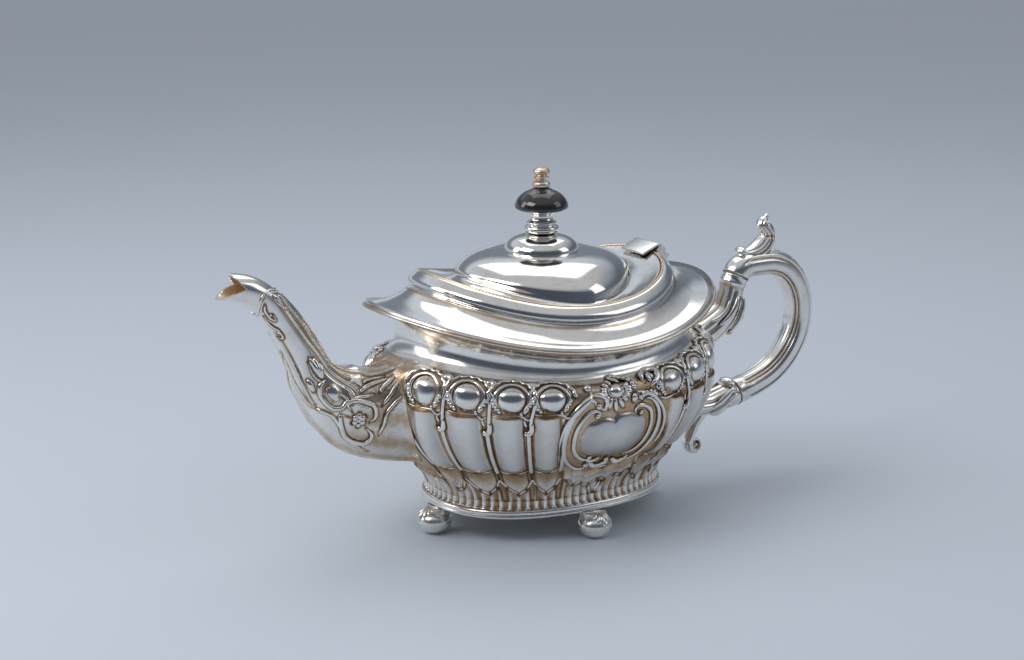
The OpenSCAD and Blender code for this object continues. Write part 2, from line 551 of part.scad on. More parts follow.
module handle_lower_socket() color(silver) difference() {
  union() {
    tube(concat([stub(low, low_dir, -washer_t / 2, socket_r - 0.3, socket_r)],
      smooth([stub(low, low_dir, -1.4, socket_r - 0.3, socket_r), [joint_x - 8, lower_joint_z - 1.7, 5.4, 5.6],
      [joint_x - 16, lower_joint_z - 3, 5.6, 5.6], [joint_x - 25, lower_joint_z - 2.6, 6.4, 6],
      [waist_len / 2 + 12, lower_joint_z - 1, 7.4, 6.6]], 2)));
    tube(smooth([[joint_x - 15, lower_joint_z - 3, 3, 3.8], [joint_x - 21.5, lower_joint_z - 9.5, 3.3, 3.8],
      [joint_x - 26.5, lower_joint_z - 16.5, 2.8, 3.4], [joint_x - 24.5, lower_joint_z - 21.5, 2.4, 3.2]], 2));
    translate([joint_x - 21.5, 0, lower_joint_z - 20.5]) sphere(r = 3.9, $fn = 32);
    translate([joint_x - 5, 0, lower_joint_z + 5.2]) sphere(r = 2.6, $fn = 32);
    along(low, low_dir, tenon_d, tenon_h);
    along(low, -low_dir, tenon_d, 1);
  }
  pin_hole(low_pin);
  bowl_form(3, 14);
}
module joint_washer(p, dir) color("sienna") difference() {
  along(beyond(p, dir, -washer_t / 2), dir, 2 * socket_r - 0.2, washer_t);
  along(beyond(p, dir, -washer_t), dir, tenon_d + 2 * fit, washer_t * 2);
}
module handle_upper_washer() joint_washer(up, up_dir);
module handle_lower_washer() joint_washer(low, low_dir);
module handle_pins() color(tarnish) for (p = [up_pin, low_pin]) across(p[0], p[1], pin_d, 2 * socket_r - 0.4);

thumb_z = upper_joint_z + 0.085 * (upper_joint_z - lower_joint_z) + grip_t / 2;
module thumb_rest() color(silver) difference() {
  union() {
    tube(smooth([for (p = [[4, 0.03, 2, 3], [9.5, 0.02, 2.4, 4], [15, 0.1, 3, 4.6], [18.5, 0.36, 3.2, 4.4],
      [17.2, 0.62, 2.4, 3.4], [17.8, 0.84, 1.6, 2.2]])
      [joint_x + p[0], thumb_z + p[1] * thumb_h, p[2], p[3]]], 2), n = 16);
    translate([joint_x + 3.6, 0, thumb_z + 0.6]) sphere(r = 2.2, $fn = 32);
    translate([joint_x + 18, 0, thumb_z + thumb_h - 1.7]) sphere(r = 1.7, $fn = 32);
  }
  tube(grip_path, seat_gap);
}

body_shell();
foot_band();
base_rim();
foot_front();
foot_rear();
foot_spout_end();
foot_handle_end();
rim_wire();
top_cover();
lid_seat();
spout();
spout_lip();
spout_collar();
lid_shell();
lid_collar();
finial_seat();
finial_bobbin();
finial_disc();
finial_cap();
finial_stud();
finial_washer();
finial_nut();
hinge_body();
hinge_leaf();
hinge_pin();
handle_upper_socket();
handle_upper_washer();
handle_grip();
thumb_rest();
handle_lower_washer();
handle_lower_socket();
handle_pins();
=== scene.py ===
# Oval rococo teapot in silver plate: chased bowl, domed lid on a hinge, beaked spout
# and scroll handle. Lengths inside the functions are millimetres on the frame's axes.
import bpy
import bmesh
import math
import numpy as np
from mathutils import Matrix, Vector


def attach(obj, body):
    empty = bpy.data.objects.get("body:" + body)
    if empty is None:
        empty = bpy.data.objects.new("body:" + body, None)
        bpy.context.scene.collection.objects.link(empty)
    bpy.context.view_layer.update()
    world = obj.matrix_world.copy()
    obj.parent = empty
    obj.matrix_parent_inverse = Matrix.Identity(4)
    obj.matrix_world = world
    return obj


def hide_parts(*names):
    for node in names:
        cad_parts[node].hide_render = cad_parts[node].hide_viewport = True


bl_info = {
    "name": "Silver teapot",
    "version": (1, 0, 0),
    "blender": (4, 5, 0),
    "location": "View3D > Sidebar > Teapot",
    "description": "Builds an oval silver teapot with chased ornament on its packed frame",
    "category": "Add Mesh",
}

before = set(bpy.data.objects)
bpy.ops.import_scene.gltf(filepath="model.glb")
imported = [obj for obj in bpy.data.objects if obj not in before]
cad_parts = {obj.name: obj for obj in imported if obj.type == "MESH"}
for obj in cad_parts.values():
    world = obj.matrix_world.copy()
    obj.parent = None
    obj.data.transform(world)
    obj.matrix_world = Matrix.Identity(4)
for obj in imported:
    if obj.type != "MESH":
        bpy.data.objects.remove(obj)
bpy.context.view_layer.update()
MM = 0.001


# ---- sizes and finishes ----

def length(label, text, default, low=0.0):
    return bpy.props.FloatProperty(name=label, description=text, default=default * MM,
                                   min=low * MM, unit="LENGTH", precision=4)


def colour(label, text, default):
    return bpy.props.FloatVectorProperty(name=label, description=text, default=default, size=3,
                                         min=0.0, max=1.0, subtype="COLOR")


def factor(label, text, default):
    return bpy.props.FloatProperty(name=label, description=text, default=default, min=0.0,
                                   max=1.0, subtype="FACTOR")


class TeapotSizes(bpy.types.PropertyGroup):
    belly_len: length("Belly length", "Length of the bowl at its belly", 162.0)
    belly_wid: length("Belly width", "Width of the bowl at its belly", 124.0)
    belly_z: length("Belly height", "Height of the belly above the table", 67.0)
    waist_len: length("Waist length", "Length of the waist under the bowl", 104.0)
    waist_wid: length("Waist width", "Width of the waist under the bowl", 80.0)
    waist_z: length("Waist height", "Height of the waist above the table", 18.5)
    throat_len: length("Throat length", "Length of the throat under the rim", 131.0)
    throat_wid: length("Throat width", "Width of the throat under the rim", 101.0)
    throat_z: length("Throat height", "Height of the throat at the front", 78.0)
    rim_len: length("Rim length", "Length of the rim flange", 160.0)
    rim_wid: length("Rim width", "Width of the rim flange", 124.0)
    rim_z: length("Rim height", "Height of the rim flange at the front", 86.5)
    rim_rise: length("Rim rise", "How far the rim's ends rise above its front", 14.5)
    rim_wire_d: length("Rim wire", "Diameter of the wire in the rim", 1.2)
    wall: length("Wall", "Thickness of the sheet metal", 0.9)
    flute_depth: length("Flute depth", "Height of the flutes over the channels", 2.3)
    rib_count: bpy.props.IntProperty(name="Ribs", description="Number of ribs round the foot",
                                     default=80, min=24)
    line_width: length("Line width", "Width of a plain chased line", 1.1)
    seam_len: length("Seam length", "Length of the lid's opening", 106.0)
    seam_wid: length("Seam width", "Width of the lid's opening", 91.0)
    seam_z: length("Seam height", "Height of the lid's seam at the front", 102.0)
    seam_rise: length("Seam rise", "How far the seam's ends rise above its front", 10.5)
    step_out_len: length("Step at the ends", "How far the step stands outside the seam at the ends", 4.5)
    step_out_wid: length("Step at the front", "How far the step stands outside the seam at the front", 4.0)
    spout_reach: length("Spout reach", "How far the spout's tip stands from the middle", 152.5)
    spout_lip_z: length("Spout tip height", "Height of the beak's lower tip", 114.0)
    dome_top_z: length("Dome height", "Height of the dome's top above the table", 118.0)
    seat_h: length("Finial seat", "Height of the round seat on the dome", 7.0)
    base_len: length("Base length", "Length of the base ring", 109.0)
    base_wid: length("Base width", "Width of the base ring", 84.0)
    base_z: length("Base height", "Height of the base ring above the table", 11.5)
    ball_d: length("Ball diameter", "Diameter of a ball foot", 15.0)
    grip_t: length("Grip thickness", "Thickness of the grip, front to back", 12.0)
    grip_w: length("Grip width", "Width of the grip", 13.0)


class TeapotFinish(bpy.types.PropertyGroup):
    silver: colour("Silver", "Colour of the bright plate", (0.87, 0.85, 0.81))
    # the satin grey is laid where the satin mark says, so it also paints the shade on the flutes' sides
    satin_and_shade: colour("Satin silver", "Colour of the rubbed, unpolished panels", (0.56, 0.55, 0.54))
    # the tarnish and grime colours also paint the shade beside raised lines and on the undersides of strands
    tarnish: colour("Tarnish", "Colour of the thin tarnish round the ornament", (0.47, 0.30, 0.145))
    grime: colour("Grime", "Colour of the dirt in the deepest lines", (0.085, 0.052, 0.03))
    worn: colour("Worn metal", "Colour where the plate is worn through", (0.60, 0.37, 0.20))
    gilt: colour("Gilt", "Colour inside the lip", (0.84, 0.63, 0.38))
    knob: colour("Knob", "Colour of the dark knob", (0.012, 0.010, 0.010))
    washer: colour("Washer", "Colour of the washers in the handle's joints", (0.16, 0.10, 0.06))
    floor: colour("Floor", "Colour of the floor and backdrop", (0.56, 0.62, 0.70))
    age: factor("Age", "How far the tarnish has spread", 0.5)


def sizes():
    return bpy.context.scene.teapot_sizes


def finish():
    return bpy.context.scene.teapot_finish


def mm(name):
    """A size in millimetres."""
    return getattr(sizes(), name) / MM


def half_sizes(part):
    """Half length, half width and height of one of the pot's ovals."""
    return mm(part + "_len") / 2, mm(part + "_wid") / 2, mm(part + "_z")


# ---- lines and lofted surfaces ----

def mix(a, b, t):
    """From a at 0 to b at 1."""
    return a + (b - a) * t


def ease(t):
    """A soft step from 0 to 1."""
    t = np.clip(t, 0.0, 1.0)
    return t * t * (3 - 2 * t)


def bump_at(t, place, width):
    """A smooth bump, 1 at its place."""
    return np.exp(-((t - place) / width) ** 2)


def even_turns(count):
    """Even angles round a section."""
    return np.arange(count) / count * 2 * math.pi


def arc(degrees):
    """Cosine and sine."""
    return math.cos(math.radians(degrees)), math.sin(math.radians(degrees))


def round_at(x, y, wide, high, angles):
    """Points of an upright oval on the bowl's skin."""
    return [(x + wide * math.cos(a), y + high * math.sin(a)) for a in angles]


def unit(v):
    return v / np.maximum(np.linalg.norm(v, axis=-1, keepdims=True), 1e-12)


def added_up(steps):
    """Distance from the start at each end of a run of steps."""
    return np.concatenate([[0.0], np.cumsum(steps)])


def through(points, count, keys=None):
    """Even points on a smooth line through the given ones, spaced by the columns named as keys."""
    p = np.asarray(points, float)
    k = p if keys is None else p[:, keys]
    d = np.maximum(np.linalg.norm(np.diff(k, axis=0), axis=1), 1e-9)
    t = added_up(d)
    m = np.empty_like(p)
    slope = np.diff(p, axis=0) / d[:, None]
    if len(p) > 2:
        m[1:-1] = (slope[:-1] * d[1:, None] + slope[1:] * d[:-1, None]) / (d[:-1] + d[1:])[:, None]
    m[0], m[-1] = slope[0], slope[-1]
    u = np.linspace(0, 1, count) * t[-1]
    i = np.clip(np.searchsorted(t, u, "right") - 1, 0, len(d) - 1)
    h = d[i][:, None]
    s = ((u - t[i]) / d[i])[:, None]
    return ((2 * s**3 - 3 * s**2 + 1) * p[i] + (s**3 - 2 * s**2 + s) * h * m[i]
            + (3 * s**2 - 2 * s**3) * p[i + 1] + (s**3 - s**2) * h * m[i + 1])


def oval(rows, angles):
    """Rows of [half length, half width, roundness, height at the front, rise of the ends]."""
    a, b, n, z, rise = (np.asarray(rows, float)[:, i][:, None] for i in range(5))
    c, s = np.cos(angles)[None], np.sin(angles)[None]
    size = (np.abs(c) ** n + np.abs(s) ** n) ** (-1 / n)
    cx, sy = c * size, s * size
    return np.stack([a * cx, b * sy, z + rise * cx**2 + 0 * sy], axis=2)


def offset_rows(rows, d):
    """The same profile moved by d across itself, outward where d is positive."""
    r = np.asarray(rows, float)
    mid = r[:, 3] + r[:, 4] / 2
    tx, tz = np.gradient(r[:, 0]), np.gradient(mid)
    size = np.maximum(np.hypot(tx, tz), 1e-9)
    out = r.copy()
    out[:, 0] += d * tz / size
    out[:, 1] += d * tz / size
    out[:, 3] -= d * tx / size
    return out


def even_angles(a, b, count):
    """Angles from the spout end through the front, evenly spaced along an oval."""
    t = np.linspace(-math.pi, math.pi, 7201)
    run = added_up(np.hypot(np.diff(a * np.cos(t)), np.diff(b * np.sin(t))))
    return np.interp(np.arange(count) / count * run[-1], run, t), run[-1]


def grid_normals(p):
    """Normals of a grid of points that closes round."""
    du = np.roll(p, -1, axis=1) - np.roll(p, 1, axis=1)
    return unit(np.cross(du, np.gradient(p, axis=0)))


def bar_normals(p):
    """Normals of the rings of a bar, pointing away from its middle line."""
    normal = grid_normals(p)
    inwards = np.sum(normal * (p - p.mean(axis=1, keepdims=True))) < 0
    return -normal if inwards else normal


def run_along(path):
    """Distance along a path of (x, z, ...) at each of its points."""
    return added_up(np.hypot(*np.diff(path[:, :2], axis=0).T))


def new_mesh(name, verts, faces, marks=None, smooth=True):
    """A piece from points in millimetres, with its marks as attributes."""
    mesh = bpy.data.meshes.new(name)
    verts = np.asarray(verts, float)
    mesh.from_pydata((verts * MM).tolist(), [], faces)
    for label, values in (marks or {}).items():
        layer = mesh.attributes.new(label, "FLOAT", "POINT")
        layer.data.foreach_set("value", np.asarray(values, np.float32).ravel())
    mesh.update()
    if smooth:
        mesh.polygons.foreach_set("use_smooth", np.ones(len(mesh.polygons), bool))
    piece = bpy.data.objects.new(name, mesh)
    bpy.context.collection.objects.link(piece)
    return piece


def grid_faces(rows, cols, closed=False, start=0):
    """Quads of a grid; rows go up the profile, and columns go round and close."""
    i, j = np.meshgrid(np.arange(rows if closed else rows - 1), np.arange(cols), indexing="ij")
    i2, j2 = (i + 1) % rows, (j + 1) % cols
    quads = np.stack([i * cols + j, i * cols + j2, i2 * cols + j2, i2 * cols + j], axis=2)
    return (quads.reshape(-1, 4) + start).tolist()


def capped_faces(rows, cols):
    """The same with its first and last ring closed."""
    last = (rows - 1) * cols
    return grid_faces(rows, cols) + [list(range(cols))[::-1], list(range(last, last + cols))]


def recalculated(piece):
    """The piece with its faces pointing outwards."""
    shape = bmesh.new()
    shape.from_mesh(piece.data)
    bmesh.ops.recalc_face_normals(shape, faces=shape.faces)
    shape.to_mesh(piece.data)
    shape.free()
    return piece


def closed_loft(name, rows, angles, marks=None):
    """A closed section of oval rows, carried all the way round."""
    faces = grid_faces(len(rows), len(angles), True)
    return recalculated(new_mesh(name, oval(rows, angles).reshape(-1, 3), faces, marks))


def sheet_loft(name, rows, grime):
    """A sheet of metal on an oval profile: both faces of it, joined at the edges."""
    cols = 256
    angles, _ = even_angles(rows[0][0], rows[0][1], cols)
    loop = np.concatenate([rows, offset_rows(rows, -mm("wall"))[::-1]])
    grime = np.repeat(np.concatenate([grime, grime[::-1]])[:, None], cols, axis=1)
    return closed_loft(name, loop, angles, {"grime": grime})


def choose(piece):
    """Makes the piece the only one that is selected, and the active one."""
    bpy.ops.object.select_all(action="DESELECT")
    piece.select_set(True)
    bpy.context.view_layer.objects.active = piece


def settle(piece, name):
    """Puts the piece's place into its mesh, and names it."""
    choose(piece)
    bpy.ops.object.transform_apply(location=True, rotation=True, scale=True)
    piece.name = piece.data.name = name
    return piece


def cut(piece, tool):
    """Takes the tool's shape out of the piece and removes the tool."""
    choose(piece)
    bpy.ops.object.modifier_add(type="BOOLEAN")
    change = piece.modifiers[-1]
    change.operation, change.solver, change.object = "DIFFERENCE", "EXACT", tool
    bpy.ops.object.modifier_apply(modifier=change.name)
    bpy.data.objects.remove(tool, do_unlink=True)
    return piece


def joined(pieces, name):
    """One object from several."""
    bpy.ops.object.select_all(action="DESELECT")
    for piece in pieces:
        piece.select_set(True)
    bpy.context.view_layer.objects.active = pieces[0]
    if len(pieces) > 1:
        bpy.ops.object.join()
    pieces[0].name = pieces[0].data.name = name
    return pieces[0]


def cylinder(radius, depth, place, turn, sides):
    """A cylinder in millimetres, as a tool or as the start of a piece."""
    bpy.ops.object.select_all(action="DESELECT")
    bpy.ops.mesh.primitive_cylinder_add(vertices=sides, radius=radius * MM, depth=depth * MM,
                                        location=[c * MM for c in place], rotation=turn)
    return bpy.context.object


def extruded(name, profile, half):
    """A flat-sided piece: a profile of (x, z) drawn out to both sides of the middle plane."""
    k = len(profile)
    verts = [(a, y, b) for y in (-half, half) for a, b in profile]
    faces = [list(range(k)), [2 * k - 1 - j for j in range(k)]]
    faces += [[j, j + k, (j + 1) % k + k, (j + 1) % k] for j in range(k)]
    return recalculated(new_mesh(name, verts, faces, smooth=False))


def turned(name, z, profile, sides=96):
    """A lathe-turned piece: a circle is extruded and resized from point to point."""
    bpy.ops.object.select_all(action="DESELECT")
    r0, z0 = profile[0]
    bpy.ops.mesh.primitive_circle_add(vertices=sides, radius=r0 * MM, fill_type="NGON",
                                      location=(0, 0, (z + z0) * MM))
    piece = bpy.context.object
    settle(piece, name)
    bpy.ops.object.mode_set(mode="EDIT")
    bpy.ops.mesh.select_all(action="SELECT")
    r, h = r0, z0
    for nr, nh in profile[1:]:
        bpy.ops.mesh.extrude_region_move(TRANSFORM_OT_translate={"value": (0, 0, (nh - h) * MM)})
        k = nr / r
        bpy.ops.transform.resize(value=(k, k, 1), center_override=(0, 0, (z + nh) * MM))
        r, h = nr, nh
    bpy.ops.mesh.select_all(action="SELECT")
    bpy.ops.mesh.normals_make_consistent(inside=False)
    bpy.ops.object.mode_set(mode="OBJECT")
    choose(piece)
    bpy.ops.object.shade_smooth_by_angle(angle=math.radians(40))
    return piece


# ---- chased lines that lie on a surface ----

class Ground:
    """A surface that lines are laid on: points and normals by (distance round, distance up)."""

    def __init__(self, points, normals, across, up, wrap):
        self.p, self.n, self.across, self.up, self.wrap = points, normals, across, up, wrap

    def at(self, s, v):
        rows, cols = self.p.shape[:2]
        fi = np.interp(np.asarray(v, float), self.up, np.arange(rows))
        fj = (np.asarray(s, float) % self.wrap) / self.wrap * cols
        i = np.clip(fi.astype(int), 0, rows - 2)
        j = fj.astype(int)
        a, b = (fi - i)[:, None], (fj - j)[:, None]
        j, j2 = j % cols, (j + 1) % cols

        def pick(g):
            return ((g[i, j] * (1 - b) + g[i, j2] * b) * (1 - a)
                    + (g[i + 1, j] * (1 - b) + g[i + 1, j2] * b) * a)
        return pick(self.p), unit(pick(self.n))


class Chasing:
    """Collects raised lines, beads and leaves into one mesh."""

    def __init__(self, sides=8):
        self.sides, self.count = sides, 0
        self.verts, self.faces, self.flank, self.spots = [], [], [], []

    def tube(self, centre, normal, half_width, half_height, dirt_and_shade=1.0):
        """A closed strand round a line of points."""
        c = np.asarray(centre, float)
        n = len(c)
        along = unit(np.gradient(c, axis=0))
        side = unit(np.cross(along, normal))
        up = np.cross(side, along)
        a = even_turns(self.sides)
        w, h = (np.broadcast_to(np.asarray(size, float), (n,))[:, None, None]
                for size in (half_width, half_height))
        ring = (c[:, None] + side[:, None] * np.cos(a)[None, :, None] * w
                + up[:, None] * np.sin(a)[None, :, None] * h)
        first, last = self.count, self.count + n * self.sides
        self.verts += [ring.reshape(-1, 3), c[:1], c[-1:]]
        # tarnish and painted shade: a strand is marked darker on its flanks and underside and clean on its
        # crest
        flank = dirt_and_shade * np.clip(1.25 - 1.35 * (np.sin(a) * 0.5 + 0.5), 0, 1)
        self.flank += [np.tile(flank, n), [0.5 * dirt_and_shade, 0.5 * dirt_and_shade]]
        self.faces += grid_faces(n, self.sides, start=first)
        tip = last - self.sides
        for k in range(self.sides):
            k2 = (k + 1) % self.sides
            self.faces += [[last, first + k2, first + k], [last + 1, tip + k, tip + k2]]
        self.count = last + 2

    def line(self, ground, path, width, lift=0.0, taper=(0.35, 0.35), high=0.62, sink=0.2,
             step=1.0, swell=None, level=None):
        """A raised line along a path of (round, up) on a ground."""
        q = np.asarray(path, float)
        run = np.sum(np.linalg.norm(np.diff(q, axis=0), axis=1))
        n = max(6, int(run / step) + 1)
        q = through(q, n)
        t = np.linspace(0, 1, n)
        p, normal = ground.at(q[:, 0], q[:, 1])
        shape = mix(taper[0], 1, ease(t / 0.18)) * mix(taper[1], 1, ease((1 - t) / 0.18))
        if swell is not None:
            shape = shape * np.interp(t, np.linspace(0, 1, len(swell)), swell)
        w = width / 2 * shape
        end = np.sqrt(np.clip(np.minimum(t, 1 - t) * n / 1.2, 0.02, 1))
        if level is not None:
            lift = lift + level(q[:, 1])
        self.spots += list(zip(q[:, 0], q[:, 1], w))
        self.tube(p + normal * (lift + w * high - sink * width)[:, None], normal, w * end,
                  w * high * end)

    def bead(self, ground, place, width, lift=0.0, high=1.0, turn=0.0, level=None):
        """A round bead, low or tall."""
        t = np.linspace(0, math.pi, 9)
        s, v = place
        reach = width / 2
        q = np.stack([s - np.cos(t) * reach * math.cos(turn), v - np.cos(t) * reach * math.sin(turn)], 1)
        p, normal = ground.at(q[:, 0], q[:, 1])
        r = np.maximum(np.sin(t), 0.03) * width / 2
        if level is not None:
            lift = lift + float(level(v))
        self.spots.append((s, v, width / 2))
        self.tube(p + normal * lift, normal, r, r * high)

    def piece(self, name):
        flank = np.concatenate(self.flank)
        # the flank mark, tarnish and painted shade, also goes into grime for the pieces that it is joined to
        made = new_mesh(name, np.concatenate(self.verts), self.faces, {"flank": flank, "grime": 0.8 * flank})
        return recalculated(made)


# ---- the bowl ----

SWELL = [(0, 0), (0.05, 0.07), (0.2, 0.17), (0.42, 0.29), (0.62, 0.41), (0.79, 0.55),
         (0.92, 0.71), (0.985, 0.87), (1, 1)]
# Channels between the flutes, in millimetres round the belly from the middle of a long side
CHANNELS = np.array([-98.0, -79.0, -59.0, -41.5, -25.5, 24.0, 42.0, 60.5, 79.5, 98.0])
ROUNDELS = [-86.5, -67.0, -48.2, -31.0, 30.5, 50.0, 69.0, 88.0]
# Heights up the bowl's skin: the flutes' tops and ends, and the pads' scalloped lips
PANEL_TOP, SATIN_END, PAD_LOW, PAD_HIGH = -6.0, -39.0, -53.0, -43.5
CHIEF = 4  # the panel with the shield, and the channel on its left
PLAIN_FROM = 97.0  # where the ornament of a long side ends
# The lip under the chief panel, and the shield's outline
CHIEF_LIP = [(-25, -45), (-20.6, -46.4), (-17.6, -50), (-13, -49), (-9, -51.6), (-3.6, -50.4), (0.6, -48.4),
             (5.6, -50.2), (10.4, -47.6), (15.6, -48.8), (20.4, -46), (24.6, -46.2)]
SHIELD = [(-18.1, -21.5), (-16.6, -27.4), (-13.5, -30.6), (-8.0, -31.2), (-2.0, -32.1), (4.0, -32.4),
          (10.0, -31.6), (14.2, -28.8), (16.6, -24.6), (17.0, -19.6), (16.0, -15.0), (13.4, -12.0),
          (8.2, -10.0), (3.0, -9.0), (-0.4, -9.6), (-2.3, -11.8), (-4.0, -10.6), (-7.4, -10.2),
          (-11.3, -11.6), (-14.6, -12.6), (-17.0, -16.0)]
SHIELD_MIDDLE = (-0.5, -21.0)


def bowl_rows():
    """The bowl's profile: waist, belly, shoulder, throat and the flare under the rim."""
    (a, b, z), (wa, wb, wz), (ta, tb, tz) = (half_sizes(part) for part in ("belly", "waist", "throat"))
    rows = [(mix(wa, a, s), mix(wb, b, s), mix(2.3, 2.1, h), mix(wz, z, h), 3.5 * h) for s, h in SWELL]
    for t in (30, 60, 90):
        c, s = arc(t)
        rows.append((a - 8 * (1 - c), b - 8 * (1 - c), 2.1, z + 6 * s, mix(3.5, 9.5, 0.5 * s)))
    for t in (60, 30, 0):
        c, s = arc(t)
        rows.append((ta + (a - 8 - ta) * (1 - c), tb + (b - 8 - tb) * (1 - c), 2.1,
                     tz - (tz - z - 6) * s, mix(9.5, 3.5, 0.5 * s)))
    edge = mm("rim_wire_d") + 0.12
    ra, rb = mm("rim_len") / 2 - edge, mm("rim_wid") / 2 - edge
    top = mm("rim_z") - 2 * mm("wall") - 0.24
    for t in (22.5, 45, 67.5, 90):
        c, s = arc(t)
        rows.append((mix(ta, ra, 1 - c), mix(tb, rb, 1 - c), 2.1, mix(tz, top, s),
                     mix(9.5, mm("rim_rise"), s)))
    return np.array(rows)


def panel_of(d):
    """Index, share across (-1 to 1) and half width of the panel at d millimetres round."""
    i = np.clip(np.searchsorted(CHANNELS, d) - 1, 0, len(CHANNELS) - 2)
    left, right = CHANNELS[i], CHANNELS[i + 1]
    half = (right - left) / 2
    return i, (d - (left + right) / 2) / half, half


def ribs(d, count, around):
    """Round ridges with hollows between them, 0 to 1."""
    f = np.abs(((d / around * count) % 1.0) * 2 - 1)
    return np.clip(1.2 * f ** 1.45, 0, 1)


def rib_height(rib):
    """From the bottom of a hollow to the crest of a rib, about the form's own surface."""
    return -1.3 + 1.65 * rib


def pad_edge(u):
    """Height of the scalloped lip under a flute, with a small cusp at its middle."""
    u = np.abs(u)
    return PAD_LOW + (PAD_HIGH - PAD_LOW) * u ** 2.4 - 0.9 * np.exp(-(u / 0.16) ** 2)


def satin_edge(u):
    """Height of the crescent that ends a flute's satin."""
    return SATIN_END + 3.2 * u ** 2


def sunk(v):
    """Depth of the ground that the ornament stands on."""
    v = np.asarray(v, float)
    return -mm("flute_depth") * (1 - 0.7 * ease((v - 3.0) / 9.0)) * (1 - ease((v - 13.0) / 2.6))


def shoulder_relief(d, v):
    """Height and grime of the roundels on their sunk ground, d round and v up from the belly."""
    ground = sunk(v)
    height = ground.copy()
    grime = 0.52 * (1 - ease((v - 12.0) / 4.0))
    for c in ROUNDELS:
        x, y = d - c, v - 1.4
        r = np.hypot(x / 5.7, y / 7.0)
        disc = np.clip(1 - np.clip(r, 0, 1) ** 2.2, 0, 1) ** 0.6
        near = r < 1.9
        ring = np.hypot(x, y * 0.86)
        collar = 0.7 * bump_at(ring, 8.7, 0.8)
        lift = np.where(r < 1, mix(ground, 0.0, disc), ground + collar * (v > -6) * (v < 12))
        height = np.where(near, np.maximum(lift, ground), height)
        g = np.maximum(0.9 * bump_at(ring, 6.3, 0.5), 0.7 * bump_at(ring, 9.4, 0.9))
        grime = np.where(near, np.where(r < 0.97, 0.0, np.maximum(g, 0.35)), grime)
    return height, grime


def shield_share(x, y):
    """Distance from the shield's middle as a share of its outline, 1 on the outline."""
    outline = np.array(SHIELD) - np.array(SHIELD_MIDDLE)
    turn = np.arctan2(outline[:, 1], outline[:, 0])
    order = np.argsort(turn)
    size = np.interp(np.arctan2(y, x), turn[order], np.hypot(*outline.T)[order], period=2 * math.pi)
    return np.hypot(x, y) / size


def bowl_relief(d, v, around):
    """Height over the bowl's form (zero or less above its lips), satin with painted shade and highlights,
    grime and stipple, each 0 to 1.
    """
    i, u, half = panel_of(d)
    depth = mm("flute_depth")
    floor = -depth
    rib = ribs(d, sizes().rib_count, around)
    au = np.abs(u)
    inside = 1 - 2.1 / half
    e = np.clip(au / inside, 0, 1)
    flute = (1 - e ** 2.0) ** 0.7
    top = ease((PANEL_TOP - v) / 0.9)
    # the satin ends in a crescent, and the pad below it swings out to a lip
    satin_low = satin_edge(au)
    low = ease((v - satin_low + 0.5) / 4.5)
    body = floor + depth * flute * mix(0.62, 1.0, low)
    chief_lip = np.interp(d, *np.array(CHIEF_LIP).T)
    edge = np.where(i == CHIEF, chief_lip, pad_edge(np.clip(u, -1, 1)))
    t = np.clip((satin_low - v) / np.maximum(satin_low - edge, 0.5), 0, 1)
    pad = floor + depth * (0.62 * flute ** 0.5 * (1 - t) + mix(0.0, 1.05, t ** 1.7))
    on_pad = ease((v - edge) / 0.7)
    height = mix(rib_height(rib), np.where(v > satin_low, body, pad), on_pad)
    # the rubbed satin mark is greyer towards a flute's sides than on its crown: painted shade on the sides
    # and a painted highlight down the crown
    satin_and_shade = ease((flute - 0.22) / 0.2) * ease(v - satin_low) * top
    satin_and_shade = satin_and_shade * mix(0.3, 1.0, ease((au - 0.12) / 0.6))
    channel = np.clip(1.2 - np.abs(au - inside - 0.02) * half / 0.95, 0, 1) * top
    grime = np.maximum(channel, 0.95 * np.clip(1 - np.abs(v - edge + 0.9) / 0.9, 0, 1) * (v < -40))
    grime = np.maximum(grime, (1 - on_pad) * (1 - rib) ** 1.3 * 0.7)
    grime = np.maximum(grime, mix(0.8, 0.0, t ** 1.4) * (v < satin_low) * on_pad)
    shoulder, shoulder_grime = shoulder_relief(d, v)
    height = mix(shoulder, height, top)
    grime = mix(shoulder_grime, grime, top)
    # the chief panel with its shield
    right = CHANNELS[CHIEF + 1] + 6.5 * ease((v + 52) / 30.0) * ease((2 - v) / 8.0)
    chief = (ease(d - CHANNELS[CHIEF] - 0.7) * ease(right - d) * ease((12.5 - v) / 0.8)
             * ease((v - chief_lip - 5.0) / 2.4))
    x, y = d - SHIELD_MIDDLE[0], v - SHIELD_MIDDLE[1]
    r = shield_share(x, y)
    brim = np.clip(1 - np.clip(r, 0, 1) ** 7, 0, 1) ** 0.6
    dome = np.clip(1 - (x / 20.0) ** 2 - (y / 14.0) ** 2, 0, 1)
    shield = floor - 0.1 + (depth - 0.1) * brim * (0.55 + 0.45 * dome)
    height = mix(height, np.where(r < 1, shield, np.minimum(sunk(v), floor * 0.75)), chief)
    # painted highlight: the shield's satin is lighter at its middle and greyer towards its edge, as light
    # falls on a dome
    satin_and_shade = mix(satin_and_shade, (r < 0.97) * mix(0.35, 1.0, ease((r - 0.1) / 0.8)), chief)
    grime = mix(grime, np.where(r < 1, 0.9 * np.clip(1 - (1 - r) * 12, 0, 1), 0.62), chief)
    # plain stippled ground at the ends, under the spout's root and the handle
    end = ease((np.abs(d) - PLAIN_FROM) / 1.5)
    height = mix(height, 0.6 * floor * (1 - ease((v - 10) / 4.0)), end * (v > -47))
    grime = mix(grime, 0.6, end * (v > -50) * (v < 14))
    satin_and_shade = satin_and_shade * (1 - end)
    return height, satin_and_shade, np.clip(grime, 0, 1), end * (v < 9) * (v > -47)


